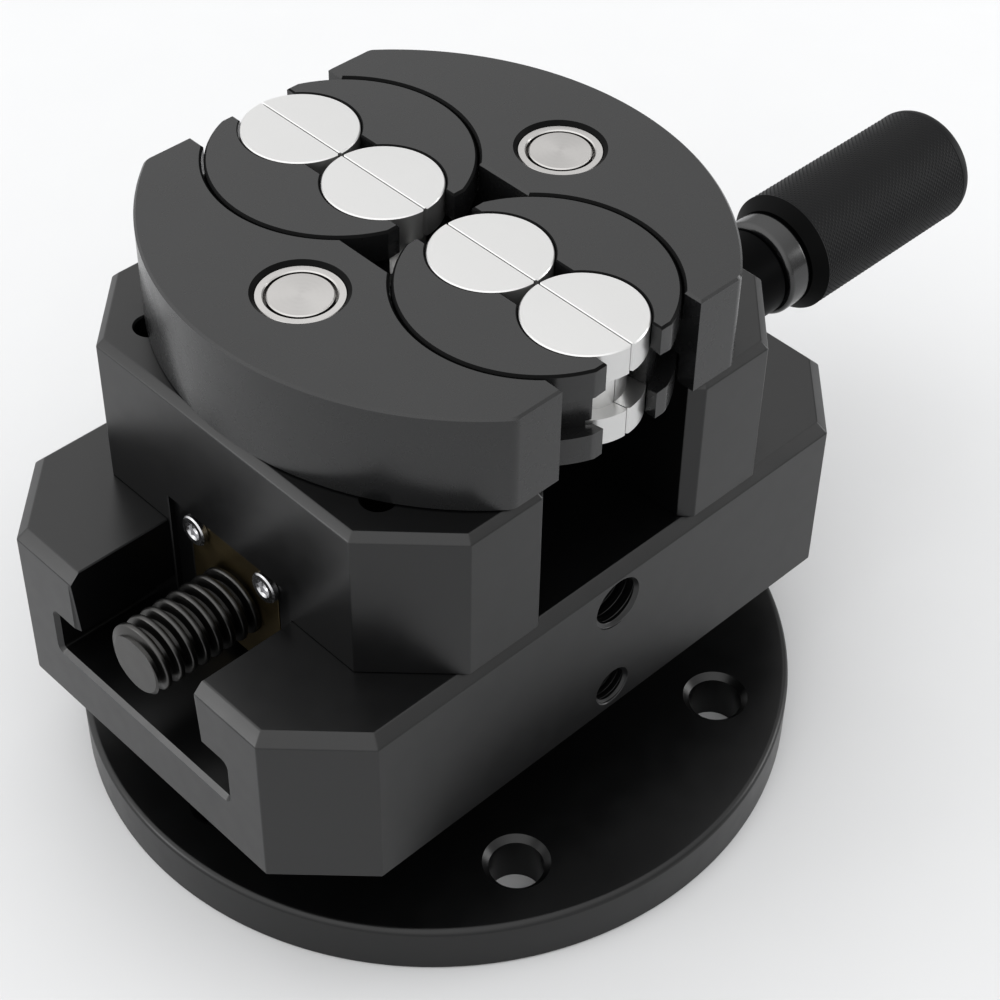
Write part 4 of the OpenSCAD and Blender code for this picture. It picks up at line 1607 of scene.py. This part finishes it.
@dataclass
class Jaws:
    """The fractal row of jaws on one side: one big, two medium and four small.

    Attributes:
        big: Radius of the big jaw's arc.
        big_round: Rounding of its outer corners.
        edge: Chamfer of its edges.
        medium: A medium jaw's disc.
        medium_spot: Its distance from the middle of the big jaw.
        medium_cut: How much its flats take off its radius.
        medium_tip: Its distance from the middle plane.
        tip_edge: Chamfer of its face.
        small: A small jaw's disc.
        small_spot: Its distance from the middle of its medium jaw.
        small_face: Its distance from the middle plane.
        face_edge: Chamfer of its face.
        notch: Size of the notch at the ends of its face.
        groove: Depth of the dovetail groove.
        groove_low: Height of the groove's bottom above the disc's underside.
        groove_high: Height of its top.
        flare: How much narrower it is at its mouth, on either side.
        rib_play: Room between groove and rib.
        rib_edge: Width of the rib's broken edges.
        under: Height of a disc's underside above the big jaw's.
        pivot: The sizes of the pivot.
        past: How far a tool goes past the middle plane.
        out: Farther out than any jaw reaches.
        above: Higher than any jaw reaches.
    """

    big: float = 42.5 * MM
    big_round: float = 2.0 * MM
    edge: float = 0.3 * MM
    medium: Disc = Disc(17.3 * MM, 0.3 * MM, 0.3 * MM, 30 * MM, 160)
    medium_spot: float = 17.7 * MM
    medium_cut: float = 1.2 * MM
    medium_tip: float = 4.6 * MM
    tip_edge: float = 0.2 * MM
    small: Disc = Disc(7.8 * MM, 0.18 * MM, 0.15 * MM, 20 * MM, 96)
    small_spot: float = 8.0 * MM
    small_face: float = 0.06 * MM
    face_edge: float = 0.12 * MM
    notch: float = 0.2 * MM
    groove: float = 2.4 * MM
    groove_low: float = 3.625 * MM
    groove_high: float = 10.325 * MM
    flare: float = 0.5 * MM
    rib_play: float = 0.15 * MM
    rib_edge: float = 0.12 * MM
    under: float = 0.1 * MM
    pivot: Pivot = Pivot()
    past: float = 10 * MM
    out: float = 60 * MM
    above: float = 200 * MM

    def levels(self) -> tuple[float, float, float, float]:
        """Heights of the discs: underside, bottom and top of the groove, and top."""
        low, high, _ = bounds_of("left_big_jaw")
        foot = low.z + self.under
        return foot, foot + self.groove_low, foot + self.groove_high, high.z

    def turned_disc(self, name: str, disc: Disc, y: float) -> Piece:
        """Turns a disc with a dovetail groove round it.

        Args:
            name: Its name.
            disc: Its sizes.
            y: Where its middle is.

        Returns:
            The disc.
        """
        foot, bottom, top, head = self.levels()
        r, e = disc.radius, disc.edge
        profile = [(0, foot), (r - e / 2, foot), (r, foot + e / 2), (r, bottom + self.flare),
                   (r - self.groove, bottom), (r - self.groove, top), (r, top - self.flare),
                   (r, head - e), (r - e, head), (0, head)]
        return turned(name, profile, disc.steps, centre=(0, y, 0))

    def rooms(self, disc: Disc, middle: float, spot: float) -> list[Piece]:
        """Makes the tools for the two rooms that such discs turn in, with their ribs.

        Args:
            disc: The discs' sizes.
            middle: Y of the middle between them.
            spot: Their distance from it.

        Returns:
            The tools.
        """
        foot, bottom, top, head = self.levels()
        low, wide, past, lip = foot - self.under, disc.radius + disc.seam, 2 * MM, disc.edge
        rib = disc.radius - self.groove + self.rib_play
        bottom, top = bottom + self.rib_play, top - self.rib_play
        rise = self.flare * (wide - rib) / self.groove
        e = self.rib_edge
        profile = [(0, low - past), (wide + past, low - past), (wide, low), (wide, bottom + rise),
                   (rib + e, bottom + e / 4), (rib, bottom + e), (rib, top - e), (rib + e, top - e / 4),
                   (wide, top - rise), (wide, head - lip), (wide + lip + past, head + past),
                   (0, head + past)]
        return [turned("room", profile, disc.steps, centre=(0, middle + way * spot, 0))
                for way in BOTH_WAYS]

    def big_outline(self, low: Vector, high: Vector) -> Profile:
        """The left big jaw's outline seen from above.

        Args:
            low: Its lowest corner.
            high: Its highest corner.

        Returns:
            The corners.
        """
        middle, f = low.x + self.big, self.big_round
        y = high.y - f
        x = middle - math.sqrt((self.big - f) ** 2 - y ** 2)
        meet = math.degrees(math.atan2(y, x - middle))
        rear = arc((x, y), f, meet, 90, 8)
        wall = arc((middle, 0), self.big, -meet, meet - 360, 120)
        front = [(a, -b) for a, b in reversed(rear)]
        return [(high.x, low.y), *front, *wall[1:-1], *rear, (high.x, high.y)]

    def big_jaw(self) -> Piece:
        """Models the left big jaw.

        Returns:
            The jaw.
        """
        low, high, _ = bounds_of("left_big_jaw")
        piece = prism("left_big_jaw_milled", self.big_outline(low, high), low.z, high.z)
        round_edges(piece, in_plane(2, high.z), self.edge, 1)
        round_edges(piece, in_plane(2, low.z), self.edge / 2, 1)
        cut(piece, *self.rooms(self.medium, 0, self.medium_spot))
        pivot, mouth = self.pivot, Vector((-self.pivot.spot, 0, high.z))
        return cut(piece, drill(pivot.bush, high.z - low.z + MM, pivot.bush_edge, mouth, DOWN, 128))

    def medium_jaw(self) -> Piece:
        """Models the left medium jaw at the front.

        Returns:
            The jaw.
        """
        y, reach, top = -self.medium_spot, self.medium.radius - self.medium_cut, self.levels()[3]
        piece = self.turned_disc("left_medium_jaw_front_milled", self.medium, y)
        keep = block("keep", (-self.out, y - reach, 0), (-self.medium_tip, y + reach, self.above))
        combine(piece, keep, "INTERSECT")
        cut(piece, *self.rooms(self.small, y, self.small_spot))
        for way in BOTH_WAYS:
            start, end = (Vector((x, y + way * reach, top)) for x in (-self.out, self.past))
            cut(piece, chamfer_bar(start, end, self.medium.edge))
        return self.faced(piece, -self.medium_tip, y, self.medium.wide, self.tip_edge)

    def small_jaw(self) -> Piece:
        """Models the small jaw nearest to the front on the left.

        Returns:
            The jaw.
        """
        y, wide, n = -self.medium_spot - self.small_spot, self.small.wide, self.notch
        piece = self.turned_disc("left_small_jaw_1_turned", self.small, y)
        keep = block("keep", (-self.out, y - wide, 0), (-self.small_face, y + wide, self.above))
        combine(piece, keep, "INTERSECT")
        tilt = Matrix.Rotation(math.radians(45), 4, "Z")
        for way in BOTH_WAYS:
            place = Matrix.Translation((-self.small_face, y + way * self.small.radius, 0))
            cut(piece, moved(block("notch", (-n, -n, 0), (n, n, self.above)), place @ tilt))
        return self.faced(piece, -self.small_face, y, wide, self.face_edge)

    def faced(self, piece: Piece, x: float, y: float, wide: float, edge: float) -> Piece:
        """Chamfers the top edge of the face that a jaw turns to the middle plane."""
        ends = [Vector((x, y + way * wide, self.levels()[3])) for way in BOTH_WAYS]
        return cut(piece, chamfer_bar(*ends, edge))

    @staticmethod
    def slanted(face: Face) -> bool:
        """Says whether a face is a chamfer that looks up."""
        return WALL < face.normal.z < FLAT

    def in_shade(self, face: Face) -> bool:
        """Says whether a face of a big jaw belongs to the bush's hole or edges the room of a disc, and so
        gets painted shade.

        Args:
            face: The face.

        Returns:
            Whether it does.
        """
        x, y = abs(face.center.x), abs(face.center.y)
        pivot, medium = self.pivot, self.medium
        hole = pivot.bush + pivot.bush_edge
        in_hole = abs(face.normal.z) < FLAT and math.hypot(x - pivot.spot, y) < hole
        room = medium.radius + medium.seam + medium.edge
        return in_hole or (self.slanted(face) and math.hypot(x, y - self.medium_spot) < room)

    def build(self) -> None:
        """Models the left front jaws, copies them to the rear and the right and hands all over."""
        # Painted shade black goes on the big jaws' bush holes and room chamfers, and on the medium jaws'
        # upward chamfers.
        deliver_pair(self.big_jaw(), "big_jaw", "jaw", "jaw_black", painted_shade=self.in_shade)
        front = self.medium_jaw()
        rear = moved(copy_of(front, "left_medium_jaw_rear_milled"), mirror_y())
        for piece, place in ((front, "front"), (rear, "rear")):
            deliver_pair(piece, f"medium_jaw_{place}", f"medium_{place}", "jaw_black", painted_shade=self.slanted)
        first = self.small_jaw()
        places = [half * self.medium_spot + way * self.small_spot
                  for half in BOTH_WAYS for way in BOTH_WAYS]
        rest = [moved(copy_of(first, f"left_small_jaw_{number}_turned"),
                      Matrix.Translation((0, place - places[0], 0)))
                for number, place in enumerate(places[1:], 2)]
        for number, shape in enumerate([first, *rest], 1):
            deliver_pair(shape, f"small_jaw_{number}", f"small_{number}", "disc_silver")
        self.pivot.build()


def dress_plain_nodes() -> None:
    """Gives the nodes that keep their own shape the finish of their slot."""
    slots = {part["node"]: part["material_slot"] for part in frame["record"]["subparts"]}
    for name, node in frame["nodes"].items():
        if not node.hide_render and slots[name] in FINISHES:
            WARDROBE.dress(node, FINISHES[slots[name]])


# Studio


@dataclass(frozen=True)
class Softbox:
    """A soft light that faces the vise.

    Attributes:
        name: Its name.
        place: Where it hangs.
        size: Its width and height.
        power: Its power in watts.
    """

    name: str
    place: tuple[float, float, float]
    size: tuple[float, float]
    power: float

    def hang(self, target: Sequence[float]) -> None:
        """Hangs the light.

        Args:
            target: What it faces.
        """
        data = bpy.data.lights.new(self.name, "AREA")
        data.shape = "RECTANGLE"
        data.size, data.size_y = self.size
        data.energy = self.power
        light = bpy.data.objects.new(self.name, data)
        light.location = self.place
        aim = Vector(target) - Vector(self.place)
        light.rotation_euler = aim.to_track_quat("-Z", "Y").to_euler()
        bpy.context.scene.collection.objects.link(light)


@dataclass(frozen=True)
class Studio:
    """Floor, lights and camera.

    Attributes:
        eye: Where the camera stands.
        yaw: Heading of the view, in radians from +X.
        pitch: Angle of the view below the horizon, in radians.
        roll: Turn of the picture, in radians.
        focal: Focal length, in pixels of the 1000 pixel picture.
        centre: The picture point that the camera looks along, in pixels.
        picture: Width of that picture, in pixels.
        window: Where the bright side of the room is.
        light: Strength of the room's light on the dim side and on the bright side.
        fade: Where that light begins and stops to rise, from -1 behind the window to 1.
        softboxes: The soft lights.
        target: What they face.
        pale: The floor's finish.
        floor_size: Length of a side of the floor.
        floor_drop: How far the floor lies below the plate.
    """

    eye: tuple[float, float, float] = (-0.1533, -0.1670, 0.2538)
    yaw: float = 0.763
    pitch: float = 0.743
    roll: float = 0.039
    focal: float = 2287.4
    centre: tuple[float, float] = (546.8, 452.8)
    picture: float = 1000.0
    window: tuple[float, float, float] = (-0.5, 0.1, 0.8)
    light: tuple[float, float] = (0.35, 1.45)
    fade: tuple[float, float] = (-0.5, 0.9)
    softboxes: tuple[Softbox, ...] = (
        Softbox("left_softbox", (-0.9, 0.5, 0.3), (0.35, 0.3), 1.2),
        Softbox("right_softbox", (0.9, -0.5, 0.3), (0.4, 0.4), 1.8))
    target: tuple[float, float, float] = (0, 0, 0.04)
    pale: Finish = Finish("floor", (0.64, 0.643, 0.648), drift=0.01, roughness=0.9, specular=0.05)
    floor_size: float = 6.0
    floor_drop: float = 0.02 * MM

    def camera(self) -> None:
        """Places the camera of the photograph."""
        forward = Vector((math.cos(self.yaw) * math.cos(self.pitch),
                          math.sin(self.yaw) * math.cos(self.pitch), -math.sin(self.pitch)))
        level = Vector((math.sin(self.yaw), -math.cos(self.yaw), 0))
        upward = level.cross(forward)
        right = level * math.cos(self.roll) + upward * math.sin(self.roll)
        up = upward * math.cos(self.roll) - level * math.sin(self.roll)
        data = bpy.data.cameras.new("camera")
        data.sensor_width = 36
        data.sensor_fit = "HORIZONTAL"
        data.lens = self.focal / self.picture * data.sensor_width
        data.shift_x = 0.5 - self.centre[0] / self.picture
        data.shift_y = self.centre[1] / self.picture - 0.5
        data.clip_start = 0.01
        data.clip_end = 10
        camera = bpy.data.objects.new("camera", data)
        turn = Matrix((right, up, -forward)).transposed().to_4x4()
        camera.matrix_world = Matrix.Translation(self.eye) @ turn
        bpy.context.scene.collection.objects.link(camera)
        bpy.context.scene.camera = camera

    def floor(self) -> None:
        """Lays the pale floor."""
        deselect_all()
        bpy.ops.mesh.primitive_plane_add(size=self.floor_size, location=(0, 0, -self.floor_drop))
        floor = bpy.context.active_object
        floor.name = "studio_floor"
        bpy.ops.object.transform_apply(location=True, rotation=True, scale=True)
        WARDROBE.dress(floor, self.pale)

    def room(self) -> None:
        """Fills the room with soft light that is brighter on one side."""
        world = bpy.data.worlds.new("room")
        world.use_nodes = True
        work = Workings(world.node_tree)
        heading = work.add("TexCoord", {}).outputs["Generated"]
        facing = work.add("VectorMath", {0: heading, 1: Vector(self.window).normalized()},
                          operation="DOT_PRODUCT")
        (start, end), (dim, bright) = self.fade, self.light
        rise = work.add("MapRange", {"Value": facing.outputs["Value"], "From Min": start,
                                     "From Max": end, "To Min": dim, "To Max": bright},
                        interpolation_type="SMOOTHSTEP")
        work.fill(work.tree.nodes["Background"],
                  {"Color": (1, 1, 1, 1), "Strength": rise.outputs["Result"]})
        bpy.context.scene.world = world

    def build(self) -> None:
        """Sets up the studio."""
        self.camera()
        self.floor()
        self.room()
        for softbox in self.softboxes:
            softbox.hang(self.target)
        bpy.context.scene.view_settings.view_transform = "Standard"
        bpy.context.scene.view_settings.look = "Medium High Contrast"


def main() -> None:
    """Builds the studio and every piece, in order."""
    logging.basicConfig(level=logging.INFO, format="%(message)s")
    Studio().build()
    for assembly in (BasePlate(), Swivel(), ViseBody(), Yoke(), LeadScrew(), Handle(), Carrier(), Jaws()):
        assembly.build()
    dress_plain_nodes()


if __name__ == "__main__":
    main()
